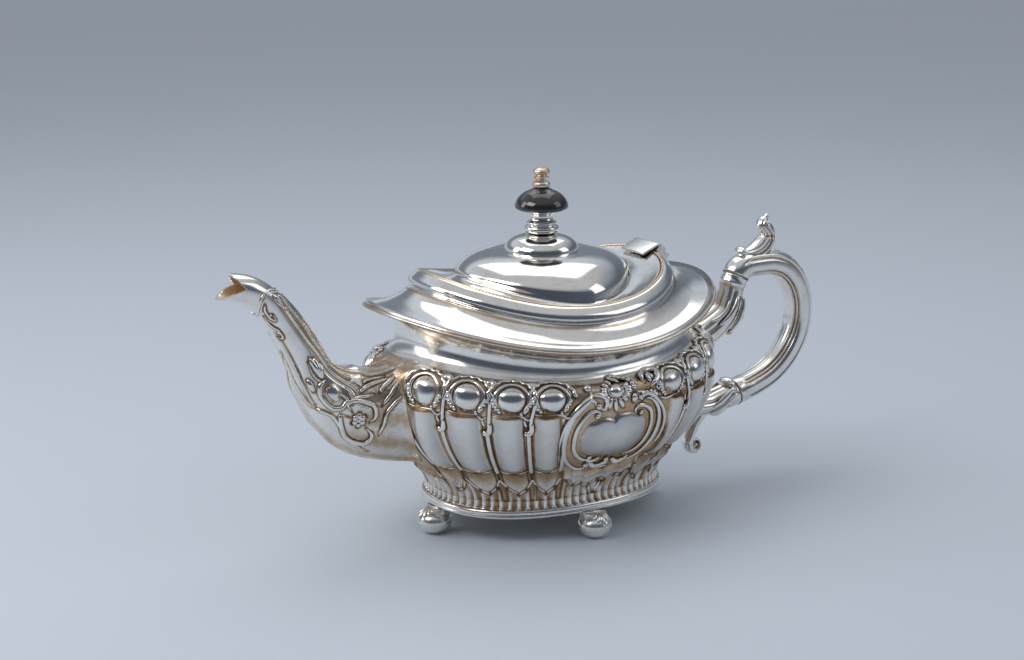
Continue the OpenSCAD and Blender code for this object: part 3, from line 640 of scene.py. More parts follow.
def bowl_ground():
    """The bowl's outer form before its relief, as a ground for lines."""
    cols = 600
    dense = through(bowl_rows(), 700, keys=[0, 3])
    run = added_up(np.hypot((np.diff(dense[:, 0]) + np.diff(dense[:, 1])) / 2,
                            np.diff(dense[:, 3] + dense[:, 4] / 2)))
    up = run - run[np.argmin(np.abs(dense[:, 3] - mm("belly_z")))]
    v = np.concatenate([np.linspace(up[0], 16.0, 122), np.linspace(16.0, up[-1], 16)[1:]])
    level = np.stack([np.interp(v, up, dense[:, k]) for k in range(5)], axis=1)
    angles, around = even_angles(mm("belly_len") / 2, mm("belly_wid") / 2, cols)
    form = oval(level, angles)
    s = np.arange(cols) / cols * around
    return Ground(form, grid_normals(form), s, v, around), level, angles


def beside(spots, s, v, around, reach=1.5):
    """How close each point of the ground lies to a raised line, 0 to 1."""
    near = np.zeros((len(v), len(s)))
    step = around / len(s)
    for x, y, r in spots:
        big = r + reach
        low, high = np.searchsorted(v, (y - big, y + big))
        j = np.arange(int((x - big) / step), int((x + big) / step) + 2)
        gap = np.hypot((j * step - x)[None], v[low:high, None] - y) - r
        cells = np.ix_(np.arange(low, high), j % len(s))
        near[cells] = np.maximum(near[cells], 1 - gap / reach)
    return np.clip(near, 0, 1)


def make_bowl(ground, level, angles, spots):
    """The relief on its form, with tarnish and painted shade beside the raised lines, the inner face and the
    strainer.
    """
    around, s, v = ground.wrap, ground.across, ground.up
    half = around / 2
    dd, vv = np.meshgrid((s % half) - half / 2, v)
    height, satin_and_shade, grime, stipple = bowl_relief(dd, vv, around)
    # tarnish and painted shade: the ground right beside every raised line is darkened, as if by the shade in
    # the crease at its foot
    grime = np.maximum(grime, 0.98 * ease(beside(spots, s, v, around)))
    outer = ground.p + ground.n * height[:, :, None]
    inner_rows = offset_rows(level, -mm("wall") - mm("flute_depth"))[::-1][::7]
    inner_rows[:, 3] = np.maximum(inner_rows[:, 3], mm("waist_z") + mm("wall"))
    points = np.concatenate([outer, oval(inner_rows, angles)])
    inside = (len(inner_rows), len(s))
    marks = {label: np.concatenate([values, np.full(inside, within)]) for label, values, within in (
        ("satin_and_shade", satin_and_shade, 0.6), ("grime", grime, 0.15), ("stipple", stipple, 0.0))}
    faces = capped_faces(len(points), len(s))
    return cut(recalculated(new_mesh("bowl", points.reshape(-1, 3), faces, marks)), strainer_tool())


def strainer_tool():
    """The pins that pierce the bowl's wall behind the spout."""
    radius, pitch, reach = 1.5, 6.0, mm("belly_len") / 4
    pins = [cylinder(radius, reach, (reach / 2 - mm("belly_len") / 2 - 5, place * pitch,
                                     mm("belly_z") - 6 - row * pitch * 0.87), (0, math.pi / 2, 0), 24)
            for row in range(5) for place in ((-1, 0, 1), (-0.5, 0.5))[row % 2]]
    return joined(pins, "strainer_pins")


# Lines of the chief panel: points (round, up) from the middle of the belly, a width, and how it swells
SCROLLS = [
    ([(-9.6, -5.3), (-11.2, -4.9), (-11.6, -3.0), (-13.0, -1.4), (-15.5, -1.3), (-18.2, -3.4), (-20.5, -5.7),
      (-23.3, -10.5), (-25.2, -17.7), (-25.6, -24.7), (-24.4, -31.6), (-21.2, -37.0), (-15.5, -40.6),
      (-11.9, -40.4), (-10.2, -38.2), (-12.4, -36.6)], 2.3, (0.9, 1.2, 1.25, 1.0, 0.9, 0.8, 0.8)),
    ([(-10.7, -9.6), (-8.8, -9.2), (-10.2, -7.0), (-13.8, -6.8), (-17.6, -10.2), (-20.2, -15.6),
      (-20.9, -20.8), (-20.4, -26.3), (-18.0, -30.6), (-13.6, -33.8), (-9.9, -33.4), (-11.6, -31.4)], 1.9,
     (0.9, 1.0, 1.1, 1.0, 0.9)),
    ([(12.7, -11.6), (9.9, -11.0), (8.8, -9.0), (9.8, -7.3), (12.8, -7.4), (17.2, -10.4), (19.2, -15.7),
      (19.9, -21.7), (19.0, -27.5), (16.0, -31.9), (12.3, -34.2), (8.7, -34.9)], 1.8,
     (0.8, 1.1, 1.0, 1.0, 0.8)),
    ([(13.6, -4.4), (17.8, -5.6), (21.6, -10.0), (23.8, -15.9), (24.6, -22.6), (23.9, -29.6), (21.3, -35.4),
      (17.1, -39.1), (12.2, -41.3)], 1.9, (0.7, 1.0, 1.2, 1.0, 0.7)),
    ([(7.4, 0.6), (12.3, -0.9), (17.6, -3.6), (23.3, -9.0), (27.3, -15.9), (29.3, -24.0), (29.3, -32.0),
      (27.4, -38.0), (24.3, -43.3)], 1.8, (0.6, 1.0, 1.1, 1.0, 0.8)),
    ([(-15.2, 6.4), (-13.9, 3.8), (-14.2, 1.0), (-17.4, -2.4), (-21.4, -6.4), (-24.6, -11.6), (-27.0, -18.5),
      (-27.9, -25.5), (-27.3, -32.8), (-25.6, -38.5)], 2.4, (1.1, 1.3, 1.5, 1.1, 0.7, 0.5, 0.45, 0.4)),
    ([(-13.6, 1.6), (-10.4, 1.8), (-7.6, 0.0), (-6.4, -3.4), (-7.6, -6.2), (-9.7, -5.6)], 1.9,
     (0.9, 1.2, 1.1, 1.0, 0.9)),
    ([(1.8, 8.4), (-0.4, 9.6), (-2.4, 11.2), (-2.4, 12.9), (-0.4, 13.4), (1.6, 12.6), (1.2, 11.4)], 1.9,
     (0.9, 1.0, 1.2, 1.1, 0.9)),
    ([(-10.3, -36.8), (-6.0, -39.6), (-2.4, -38.9), (0.2, -36.4), (-0.6, -34.6)], 2.2,
     (0.6, 1.3, 1.0, 1.3, 0.9)),
    ([(-14.0, -33.0), (-10.6, -35.0), (-6.8, -34.4), (-3.8, -33.6)], 1.7, (0.5, 1.2, 1.2, 0.5)),
    ([(15.4, -36.6), (10.4, -38.8), (5.6, -38.0), (3.6, -35.6)], 2.2, (0.5, 1.1, 1.5, 1.0)),
    ([(14.4, 4.6), (13.6, 8.4), (16.4, 11.2), (20.4, 12.0), (23.4, 10.2), (22.6, 6.8), (19.2, 3.8),
      (16.8, 0.4)], 2.4, (0.8, 1.2, 1.3, 1.2, 1.0, 0.8)),
    ([(19.8, 8.2), (18.0, 9.4), (16.9, 7.2), (17.8, 4.4)], 2.0, (1.0, 1.2, 1.0)),
    ([(7.1, -0.2), (7.4, -3.0), (7.4, -5.4)], 2.6, (0.6, 1.2, 0.9)),
    ([(-6.6, -42.6), (-1.0, -41.8), (4.6, -42.2)], 1.3, (0.5, 1.0, 0.5)),
]
KNOTS = [(-15.2, 6.8, 3.6), (-10.3, -4.6, 2.8), (-10.6, -9.0, 2.2), (-11.8, -37.6, 2.8), (-11.2, -32.0, 2.2),
         (11.9, -10.7, 2.2), (0.6, 11.9, 2.4), (18.6, 7.6, 2.6), (-0.4, -35.4, 2.6), (3.9, -36.4, 2.3)]


FLOWER = (-1.5, 2.9)


def chase_chief_panel(lay, bead, w):
    """Scrolls and knots, the flower with its buds and stem, and the shell over the right scroll."""
    for path, width, swell in SCROLLS:
        lay(path, width, swell=swell, high=0.75)
    for x, y, width in KNOTS:
        bead(x, y, width, 0.5, high=0.85)
    fx, fy = FLOWER
    bead(fx, fy, 6.4, 0.2, high=0.62)
    lay(round_at(fx, fy, 3.8, 3.8, np.linspace(0, 2 * math.pi, 40)), 1.0, taper=(1, 1))
    for a in (k / 17 * 2 * math.pi + 0.1 for k in range(17)):
        if a <= 0.7 or a >= 1.8:
            reach = 8.0 + 3.4 * math.exp(-((a - 4.71) / 0.65) ** 2) + 0.6 * math.cos(3 * a)
            lay([(fx + r * math.cos(a + 0.03 * (r - 4)), fy + r * math.sin(a + 0.03 * (r - 4)))
                 for r in np.linspace(4.4, reach, 5)], 1.75, high=0.7, swell=[0.7, 1.05, 1.15, 0.85],
                taper=(0.6, 0.5))
    for x, y in ((2.4, 11.2), (4.4, 10.2), (6.2, 8.6), (7.4, 6.4), (7.9, 4.0)):
        bead(x, y, 2.5, 0.3, high=0.75)
    lay([(2.0, 12.9), (5.2, 12.0), (8.0, 9.6), (9.6, 6.2), (9.7, 3.0)], w)
    for a in (math.radians(165 - 27 * k) for k in range(6)):
        lay(round_at(14.8, -5.6, 2.2, 1.8, [a]) + round_at(15.4, -4.8, 6.2, 4.8, [a - 0.2]), 1.6, high=0.7,
            swell=[0.6, 1.2, 1.0])


def chase_roundel(lay, bead, w, c, drop):
    """The rim, arches, shell ribs and base line of the roundel at c, and the drop beside it."""
    lay(round_at(c, 1.8, 7.0, 7.9, np.radians(np.linspace(228, -42, 30))), w * 1.55, high=0.7,
        taper=(0.35, 0.8), swell=[0.7, 1.1, 1.0, 1.0, 1.2])
    bead(c + 5.8, 1.8 - 5.6, 2.5, 0.3, high=0.9)
    turns = np.radians(np.linspace(208, -4, 60))
    arch = [(c + (10.0 + 0.34 * math.cos(15 * a)) * math.cos(a),
             2.2 + (10.2 + 0.45 * math.cos(15 * a)) * math.sin(a)) for a in turns]
    if drop:
        # the arch runs down into a drop that hangs in the channel
        end = CHANNELS[np.searchsorted(CHANNELS, c)]
        arch += [(mix(c + 9.9, end + 1.0, 0.45), -4.5), (end + 1.2, -8.5), (end + 0.9, -12.6)]
        lay([(end + 1.3, -8.6), (end + 1.3, -12.0), (end + 0.6, -14.6), (end - 0.9, -15.2),
             (end - 1.5, -13.8)], 2.1, 0.3, high=0.7, swell=[0.5, 0.9, 1.15, 1.2, 0.9], taper=(0.4, 0.8),
            step=0.6)
        lay([(end - 1.9, -7.6), (end - 1.4, -10.4), (end - 0.6, -12.4)], 1.1, swell=[0.5, 1.1, 0.9])
    lay(arch, w * 1.5, high=0.8, taper=(0.5, 1.0), step=0.6)
    lay(round_at(c, 2.0, 8.5, 9.0, np.radians(np.linspace(188, 2, 40))), w * 0.75)
    for k in range(5):
        a, b = math.radians(186 + 13 * k), math.radians(-64 + 13 * k)
        lay(round_at(c, 1.8, 7.6, 7.8, [a - 0.3]) + round_at(c, 1.4, 9.2, 8.8, [a]), 1.4, high=0.8,
            swell=[0.7, 1.2, 0.8])
        lay(round_at(c, 1.8, 6.9, 7.6, [b + 0.1]) + round_at(c, 1.0, 8.8, 8.8, [b]), 1.3, high=0.8,
            swell=[0.7, 1.2, 0.8])
    lay([(c - 8.6, -5.6), (c - 4.5, -6.7), (c, -6.6), (c + 4.5, -6.9), (c + 6.6, -8.4), (c + 8.6, -6.8)],
        1.0, 0.5)


def chase_panels(lay, w):
    """Ribs in the channels, the lips of the pads, and the leaf in the middle of the foot."""
    depth = mm("flute_depth")
    for k, g in enumerate(CHANNELS):
        if k != CHIEF + 1:
            lay([(g, -30.0 if k == CHIEF else -13.5), (g, -25.0), (g, -36.0), (g, PAD_HIGH - 1.0)], w * 1.75,
                taper=(0.9, 0.5))
    u = np.linspace(-1, 1, 41)
    for k, (left, right) in enumerate(zip(CHANNELS, CHANNELS[1:])):
        if k != CHIEF:
            centre, half = (left + right) / 2, (right - left) / 2
            lay([(centre + half * a, b) for a, b in zip(u, pad_edge(u))], w * 1.1, depth - 0.5,
                taper=(0.8, 0.8), step=0.7)
            lay([(centre + half * a * 0.8, satin_edge(0.8 * a) - 0.6) for a in u[::4]], w * 0.7, depth * 0.45)
    lay(CHIEF_LIP, w * 1.2, depth - 0.6, step=0.7)
    for a in (-1, 1):
        lay([(-1.0 + 5.4 * a, -51.4), (-1.0 + 3.0 * a, -55.0), (-1.0, -58.0)], 1.9, 1.4, high=0.7,
            swell=[0.7, 1.2, 0.8])


def make_bowl_chasing(ground):
    """Scrolls, flower, arches, stems and lips, on both long sides."""
    work = Chasing()
    w = mm("line_width")
    for side in (ground.wrap / 4, ground.wrap * 3 / 4):

        def lay(path, width, lift=0.0, **more):
            work.line(ground, [(side + x, y) for x, y in path], width, lift, level=sunk, **more)

        def bead(x, y, width, lift=0.0, **more):
            work.bead(ground, (side + x, y), width, lift, level=sunk, **more)
        chase_chief_panel(lay, bead, w)
        for k, c in enumerate(ROUNDELS):
            chase_roundel(lay, bead, w, c, k != CHIEF - 1)
        chase_panels(lay, w)
        # leaves above the arches, but not over the chief panel
        for a, b in zip(ROUNDELS, ROUNDELS[1:]):
            if abs(a - b) <= 30:
                for turn in (-0.8, 0.0, 0.8):
                    x = (a + b) / 2
                    lay([(x, 8.6), (x + 2.8 * math.sin(turn), 8.6 + 3.8 * math.cos(turn))], 2.0, high=0.7,
                        swell=[0.6, 1.2, 0.8])
    return work.piece("bowl_chasing"), work.spots


# ---- the foot ----

def make_foot():
    """The ribbed skirt under the waist and the plain base ring, as one casting."""
    (wa, wb, wz), (ba, bb, bz) = half_sizes("waist"), half_sizes("base")
    cols = 800
    angles, around = even_angles(mm("belly_len") / 2, mm("belly_wid") / 2, cols)

    def at_waist(out, up):
        return wa + out, wb + out, 2.3, wz + up, 0

    def at_base(out, up):
        return ba + out, bb + out, 2.3, bz + up, 0
    outline = [at_waist(*q) for q in ((-0.3, 1.1), (0.15, 0.5), (0.22, -0.7), (0.32, -1.9))]
    outline.append((wa + 0.6, wb + 0.6, 2.3, bz + 4.15, 0))
    outline += [at_base(*q) for q in ((-1.3, 3.75), (-0.75, 3.4), (-0.45, 2.7), (-0.38, 1.8), (-0.12, 1.25),
                                      (-0.05, 0.7), (-0.7, 0))]
    outer = through(outline, 40, keys=[0, 3])
    inner = np.array([at_base(-6, 0), at_base(-6, 1.2), at_waist(-2.6, -1.5), at_waist(-2.6, 0.4)])
    level = np.concatenate([outer, inner])
    p = oval(level, angles)
    half = around / 2
    n = len(outer)
    dd, zz = np.meshgrid((np.arange(cols) / cols * around % half) - half / 2, outer[:, 3])
    rib = ribs(dd, sizes().rib_count, around)
    # the hollows between the ribs end in small arches above the ring
    ribbed = ease((zz - (bz + 3.6) - 0.7 * rib) / 0.7)
    normal = grid_normals(p[:n])
    normal *= np.where(np.sum(normal[:, :, :2] * p[:n, :, :2], axis=2, keepdims=True) < 0, -1, 1)
    p[:n] += normal * (rib_height(rib) * ribbed)[:, :, None]
    grime = np.full(p.shape[:2], 0.5)
    grime[:n] = np.maximum(0.7 * (1 - rib) ** 1.3 * ribbed,
                           0.75 * (1 - 0.6 * rib) * bump_at(zz - bz, 3.95, 0.3))
    grime[:n] = np.maximum(grime[:n], 0.35 * bump_at(zz - bz, 1.6, 0.22))
    return recalculated(new_mesh("foot_ring", p.reshape(-1, 3), grid_faces(len(level), cols, True),
                                 {"grime": grime}))


FEET = {"foot_front": (0, -1), "foot_rear": (0, 1), "foot_spout_end": (-1, 0), "foot_handle_end": (1, 0)}


def make_balls():
    """Four ball feet, each with a leaf that holds it to the base ring."""
    made = {}
    r = mm("ball_d") / 2
    start = -math.acos(3.0 / (2 * r))
    top = mm("base_z") - 0.3
    low = math.sin(start)
    profile = [(max(r * math.cos(t), 0.4), top * (math.sin(t) - low) / (1 - low))
               for t in np.linspace(start, math.radians(84), 26)]
    for node, (x, y) in FEET.items():
        place = np.array([x * mm("base_len") / 2, y * mm("base_wid") / 2, 0])
        ball = turned(node + "_ball", 0, profile, 56)
        ball.data.transform(Matrix.Translation(Vector(place) * MM))
        leaf = Chasing()
        out = np.array([x, y, 0.0])
        side = np.array([-y, x, 0.0])
        hub = place + np.array([0, 0, top / 2 + 0.2])

        def strand(places, width, height):
            """A line over the ball through (turn, tilt, lift) places."""
            c = np.array([hub + ((out * math.cos(turn) + side * math.sin(turn)) * math.cos(tilt) * r
                                 + np.array([0, 0, 1.0]) * math.sin(tilt) * top / 2) * (1 + lift)
                          for turn, tilt, lift in places])
            leaf.tube(c, unit(c - hub), width, height)
        width = np.interp(np.linspace(0, 1, 12), [0, 0.5, 0.85, 1], [0.8, 1.15, 0.8, 0.15])
        for k in range(-3, 4):
            low = (0.05, 0.35, 0.6, 0.85)[abs(k)]
            strand([(k * 0.42 * (0.5 + 0.5 * (1.45 - a) / 1.4), a, 0.015)
                    for a in np.linspace(1.45, low, 12)], width, width * 0.75)
        for k in (-1, 1):
            strand([(k * a, 1.25 - 0.25 * a, 0.02) for a in np.linspace(0.2, 2.6, 14)], 0.8, 0.7)
        # the neck between the ball and the ring
        t = np.linspace(0, 2 * math.pi, 33)[:-1, None]
        rings = [place - out * 1.6 + out * (np.cos(t) * a) + side * (np.sin(t) * b) + np.array([0, 0, h])
                 for h, a, b in ((top * 0.60, 4.4, 5.4), (top * 0.86, 3.6, 5.2), (top, 3.7, 5.8),
                                 (top + 0.3, 3.9, 6.2))]
        neck = recalculated(new_mesh(node + "_neck", np.array(rings).reshape(-1, 3), capped_faces(4, 32)))
        made[node] = joined([ball, neck, leaf.piece(node + "_leaf")], node + "_shaped")
    return made


# ---- rim, cover and lid ----

DOME_A, DOME_B, SEAT_R = 39.0, 41.5, 16.0  # half length and half width of the dome, and the finial seat


def hinge_axis():
    """Where the hinge pin crosses the middle plane."""
    return mm("seam_len") / 2 + 4.1, mm("seam_z") + mm("seam_rise") - 0.6


def with_hinge_room(piece, radius=3.87):
    """The piece with its notch for the half-round seat of the hinge."""
    x, z = hinge_axis()
    return cut(piece, cylinder(radius, 19.54, (x, 0, z), (math.pi / 2, 0, 0), 48))


def cover_rows():
    """The cover's profile: from the rim over the cove and the step to the lid's seam."""
    (sa, sb, sz), rise = half_sizes("seam"), mm("seam_rise")
    ta, tb = sa + mm("step_out_len"), sb + mm("step_out_wid")
    (ra, rb, rz), rr = half_sizes("rim"), mm("rim_rise")
    foot = sz - 6.5
    edge = mm("rim_wire_d") + 0.12
    rows = [(ra - edge, rb - edge, 2.1, rz, rr)]
    for t, h, k in ((0.3, 0.12, 0.2), (0.58, 0.3, 0.4), (0.8, 0.58, 0.6), (0.94, 0.88, 0.8)):
        rows.append((mix(ra, ta, t), mix(rb, tb, t), 2.1, mix(rz, foot, h), mix(rr, rise, k)))
    rows += [(ta + 0.4, tb + 0.4, 2.1, foot, rise), (ta + 1.2, tb + 1.2, 2.1, foot + 1.5, rise),
             (ta + 0.9, tb + 0.9, 2.1, foot + 3.25, rise), (ta - 0.8, tb - 0.4, 2.1, foot + 5, rise),
             (mix(ta, sa, 0.55), mix(tb, sb, 0.55), 2.1, mix(foot + 5, sz, 0.92), rise),
             (sa, sb, 2.1, sz, rise)]
    return rows


def lid_rows():
    """The lid's profile: the gutter inside the seam, and the dome up to the finial's seat."""
    (sa, sb, sz), rise = half_sizes("seam"), mm("seam_rise")
    gz, gr, top = sz - 0.6, rise - 3.4, mm("dome_top_z")
    da, db, seat = DOME_A, DOME_B, SEAT_R
    rows = [(sa - 0.35, sb - 0.35, 2.1, sz, rise),
            (mix(sa, da, 0.35) - 0.35, mix(sb, db, 0.35) - 0.35, 2.0, mix(sz, gz, 0.7), mix(rise, gr, 0.6)),
            (mix(sa, da, 0.75), mix(sb, db, 0.75), 1.85, gz, gr), (da, db, 1.75, gz + 0.3, gr + 0.3)]
    for t in (20, 38, 56, 74):
        c, s = arc(t)
        k = 1 - c
        rows.append((mix(da, seat, k), mix(db, seat, k), mix(1.75, 2, k), mix(gz, top, s), gr * (1 - s)))
    rows.append((seat, seat, 2, top, 0))
    return rows


def make_cover():
    """The cover, with dirt in its cove, under its step and at the seam."""
    rows = through(cover_rows(), 64, keys=[0, 3])
    t = np.linspace(0, 1, 64)
    grime = np.maximum(0.5 * bump_at(t, 0.0, 0.03), 0.75 * bump_at(t, 0.62, 0.035))
    grime = np.maximum(grime, 0.8 * bump_at(t, 1.0, 0.018))
    return with_hinge_room(sheet_loft("cover", rows, grime))


def make_seam():
    """The fine gilt rope along the lid's opening."""
    (sa, sb, sz), rise = half_sizes("seam"), mm("seam_rise")
    cols, beads = 1280, 212
    angles, _ = even_angles(sa, sb, cols)
    size = 0.36 + 0.13 * np.abs(np.sin(np.arange(cols) / cols * math.pi * beads))
    line = oval([(sa + 0.62, sb + 0.62, 2.1, sz - 0.05, rise)], angles)[0]
    out = unit(line[:, :2])
    rings = []
    for k in np.linspace(0, 2 * math.pi, 9)[:-1]:
        ring = line.copy()
        ring[:, :2] += out * (size * math.cos(k))[:, None]
        ring[:, 2] += size * math.sin(k)
        rings.append(ring)
    rope = recalculated(new_mesh("seam_rope", np.array(rings).reshape(-1, 3), grid_faces(8, cols, True)))
    return with_hinge_room(rope, 3.95)


def make_rim():
    """The wire that is rolled into the rim, with its narrow worn line."""
    r = mm("rim_wire_d") / 2
    a, b = mm("rim_len") / 2 - r, mm("rim_wid") / 2 - r
    z = mm("rim_z") - mm("wall") - 0.12
    t = np.linspace(0, 2 * math.pi, 15)[:-1]
    rows = [(a + r * math.cos(k), b + r * math.cos(k), 2.1, z + r * math.sin(k), mm("rim_rise")) for k in t]
    grime = np.repeat((0.5 + 0.5 * bump_at(t, 5.5, 0.9))[:, None], 320, 1)
    return closed_loft("rim_edge", rows, even_angles(a, b, 320)[0], {"grime": grime})


def make_lid():
    """The lid, the ledge in the opening that it rests on, and the flange that centres it."""
    flat = [(r, r, 2, mm("dome_top_z"), 0) for r in (14, 10, 6, 3, 1.56)]
    rows = np.concatenate([through(lid_rows(), 66, keys=[0, 3]), flat])
    t = np.linspace(0, 1, len(rows))
    lid = sheet_loft("lid", rows, np.maximum(0.8 * bump_at(t, 0.0, 0.012), 0.35 * bump_at(t, 0.31, 0.03)))
    (sa, sb, sz), rise = half_sizes("seam"), mm("seam_rise")
    ledge_rows = [(sa + out, sb + out * share, 2.1, sz - 1.02 + up, rise + more) for out, up, more, share in (
        (2, -0.45, 0, 1), (0, -0.15, 0, 1), (-2, -0.7, -0.9, 0.6), (-2, -1.5, -0.9, 0.6), (0, -1.1, 0, 1),
        (2, -1.3, 0, 1))]
    flange_rows = [(sa - 2.7 - deep, sb - 2.0 - deep, 2, sz - 1.65 - 6 * down, rise - 1.5 + 0.5 * down)
                   for deep, down in ((0, 1), (0, 0.5), (0, 0), (0.9, 0), (0.9, 0.5), (0.9, 1))]
    angles, _ = even_angles(sa, sb, 256)
    ledge = with_hinge_room(closed_loft("seat_ledge", ledge_rows, angles))
    return lid, ledge, closed_loft("lid_flange", flange_rows, angles)


# Profiles of the finial's turned pieces, as shares of their radius and height
BOBBIN = [(0.7, 0), (0.86, 0.03), (0.97, 0.1), (1, 0.19), (0.97, 0.28), (0.84, 0.35), (0.8, 0.38),
          (0.85, 0.42), (0.86, 0.47), (0.8, 0.51), (0.68, 0.57), (0.63, 0.66), (0.63, 0.76), (0.68, 0.85),
          (0.77, 0.92), (0.78, 1)]
KNOB = [(0.8, 0), (0.93, 0.04), (0.99, 0.1), (1, 0.19), (0.985, 0.3), (0.94, 0.44), (0.86, 0.58),
        (0.74, 0.72), (0.58, 0.85), (0.42, 0.93), (0.33, 1)]
CAP = [(0.75, 0), (1.02, 0.07), (1.07, 0.16), (1.02, 0.26), (0.8, 0.34), (0.62, 0.38), (0.65, 0.43),
       (0.89, 0.47), (0.92, 0.51), (0.85, 0.55), (0.64, 0.58)]
CAP += [(arc(a)[0], 0.79 + 0.21 * arc(a)[1]) for a in range(-44, 80, 12)] + [(0.06, 1.0)]


def make_finial():
    """The seat, the bobbin, the knob and the cap, each turned."""
    top, high, stem, bore = mm("dome_top_z"), mm("seat_h"), 5.4, 1.56
    seat = [(mix(stem, SEAT_R, arc(a)[0]), high * arc(a)[1] * 0.93) for a in range(6, 76, 6)]
    pieces = [turned("finial_base", top, [(SEAT_R, 0.0)] + seat + [(stem, high), (bore, high)])]
    for name, outline, r, h, up, count, sides in (("bobbin", BOBBIN, 7.5, 10.0, 0, 52, 96),
                                                  ("knob", KNOB, 11.5, 9.3, 10.0, 44, 128),
                                                  ("cap", CAP, 3.6, 9.0, 19.3, 60, 64)):
        p = through([(a * r, b * h) for a, b in outline], count)
        pieces.append(turned(name, top + high + up, [tuple(q) for q in p], sides))
    return pieces


# ---- spout ----

def sweep(path, cols, section=2.0):
    """Rings along a path of (x, z, radius across the bend, half width) in the middle plane."""
    p = np.asarray(path, float)
    d = unit(np.gradient(p[:, :2], axis=0))
    a = even_turns(cols)
    c, s = np.cos(a), np.sin(a)
    c = np.sign(c) * np.abs(c) ** (2 / section)
    s = np.sign(s) * np.abs(s) ** (2 / section)
    u, v = p[:, 2:3] * c, p[:, 3:4] * s
    return np.stack([p[:, 0:1] - d[:, 1:2] * u, -v, p[:, 1:2] + d[:, 0:1] * u], 2)


ROOT_X = -99.0  # where the tube ends and the root begins to spread over the bowl
# The root's edge on the bowl: its middle height, half width, reach above and below, and length of the spread
ROOT_MIDDLE, ROOT_HALF, ROOT_ABOVE, ROOT_BELOW, ROOT_LONG = -9.5, 17.5, 25.5, 33.0, 30.0


def spout_path(count):
    lip_x, lip_z, nr = -mm("spout_reach"), mm("spout_lip_z"), 6.5
    bx, bz, rr, rw = -mm("belly_len") / 2, mm("belly_z"), 26.0, 18.0
    points = [(lip_x - 4, lip_z + 6, nr - 1.3, nr - 0.8), (lip_x + 5, lip_z + 4.6, nr - 0.8, nr - 0.4),
              (lip_x + 13.5, lip_z + 2, nr - 0.2, nr), (lip_x + 20.5, lip_z - 2.7, nr, nr),
              (lip_x + 26, lip_z - 8.7, nr + 0.4, nr + 0.2), (lip_x + 31.7, lip_z - 17, nr + 1, nr + 0.6),
              (lip_x + 37.2, lip_z - 27.5, nr + 2, nr + 1.3),
              (bx - 29.5, bz + 9, mix(nr, rr, 0.2), mix(nr, rw, 0.3)),
              (bx - 21, bz, mix(nr, rr, 0.43), mix(nr, rw, 0.52)),
              (bx - 9, bz - 5.5, mix(nr, rr, 0.66), mix(nr, rw, 0.78)), (bx + 5, bz - 7, rr, rw)]
    path = through(points, count, keys=[0, 1])
    return path[path[:, 0] < ROOT_X]


def spout_skin(bowl):
    """The spout's outer skin as a ground of (degrees from the top, millimetres along)."""
    cols = 224
    path = spout_path(170)
    tube = sweep(path, cols, section=2.15)
    a = even_turns(cols)
    s = ROOT_HALF * np.sin(a)
    v = ROOT_MIDDLE + np.where(np.cos(a) > 0, ROOT_ABOVE, ROOT_BELOW) * np.cos(a)
    low = (0.5 - 0.5 * np.cos(a))[:, None]
    end, out = bowl.at(s, v)
    end = end + out * (sunk(np.full(cols, 0.0)) * 0.6 * (1 - ease((v - 10) / 4.0)) - 0.2)[:, None]
    further, _ = bowl.at(s * 1.06, v + 0.06 * (v - ROOT_MIDDLE))
    start = tube[-1]
    # each line of the root leaves along the tube and arrives along the bowl
    span = np.linalg.norm(end - start, axis=1, keepdims=True)
    leave = path[-1, :2] - path[-2, :2]
    leave = unit(np.array([leave[0], 0, leave[1]])) - low * np.array([0.1, 0, 0.62])
    leave = unit(leave) * span
    arrive = mix(unit(further - end), np.array([0.97, 0, -0.22]), low ** 2) * span * 0.85
    t = np.linspace(0, 1, 48)[1:, None, None]
    spread = ((2 * t**3 - 3 * t**2 + 1) * start + (t**3 - 2 * t**2 + t) * leave
              + (3 * t**2 - 2 * t**3) * end + (t**3 - t**2) * arrive)
    skin = np.concatenate([tube, spread])
    run = run_along(path)
    along = np.concatenate([run, run[-1] + np.linspace(0, ROOT_LONG, 48)[1:]])
    return Ground(skin, bar_normals(skin), np.arange(cols) / cols * 360.0, along, 360.0)


SPOUT_RIDGES = [  # (degrees from the top, millimetres along), height, width
    ([(152, 40), (149, 47), (143, 55), (138, 63), (137, 72.5)], 0.6, 0.55),
    ([(180, 50), (170, 60), (157, 66.4), (146, 71.5), (138, 73)], 0.45, 0.6),
    ([(56, 27), (68, 33), (75, 40), (75, 46), (66, 55.5), (60, 63), (58, 72), (62, 80), (70, 84)], 0.6, 0.65),
    ([(40, 29), (50, 38), (52, 48), (46, 58), (44, 66), (46, 76)], 0.4, 0.6),
    ([(16, 30), (18, 45), (20, 60), (24, 75), (28, 90), (26, 104)], 0.4, 0.8),
]
SPOUT_DOMES = [((91, 73.2), 3.7, 0.9), ((119.5, 65.6), 1.5, 0.4)]  # place, radius, height
# What is cut away for the notched opening of the beak: (x, z) from its lower tip
BEAK = [(10.4, 4.1), (8.6, 6.0), (6.2, 9.0), (3, 20), (-15, 20), (-15, -10), (-2, -10), (0, 0), (5.5, 2.6)]


def apart(points, line, less=0.0):
    """Distance of each point from the nearest of a line's points."""
    gap = np.full(len(points), 99.0)
    for k in range(0, len(line), 12):
        gap = np.minimum(gap, np.linalg.norm(points[:, None] - line[None, k:k + 12], axis=2).min(axis=1))
    return gap - less


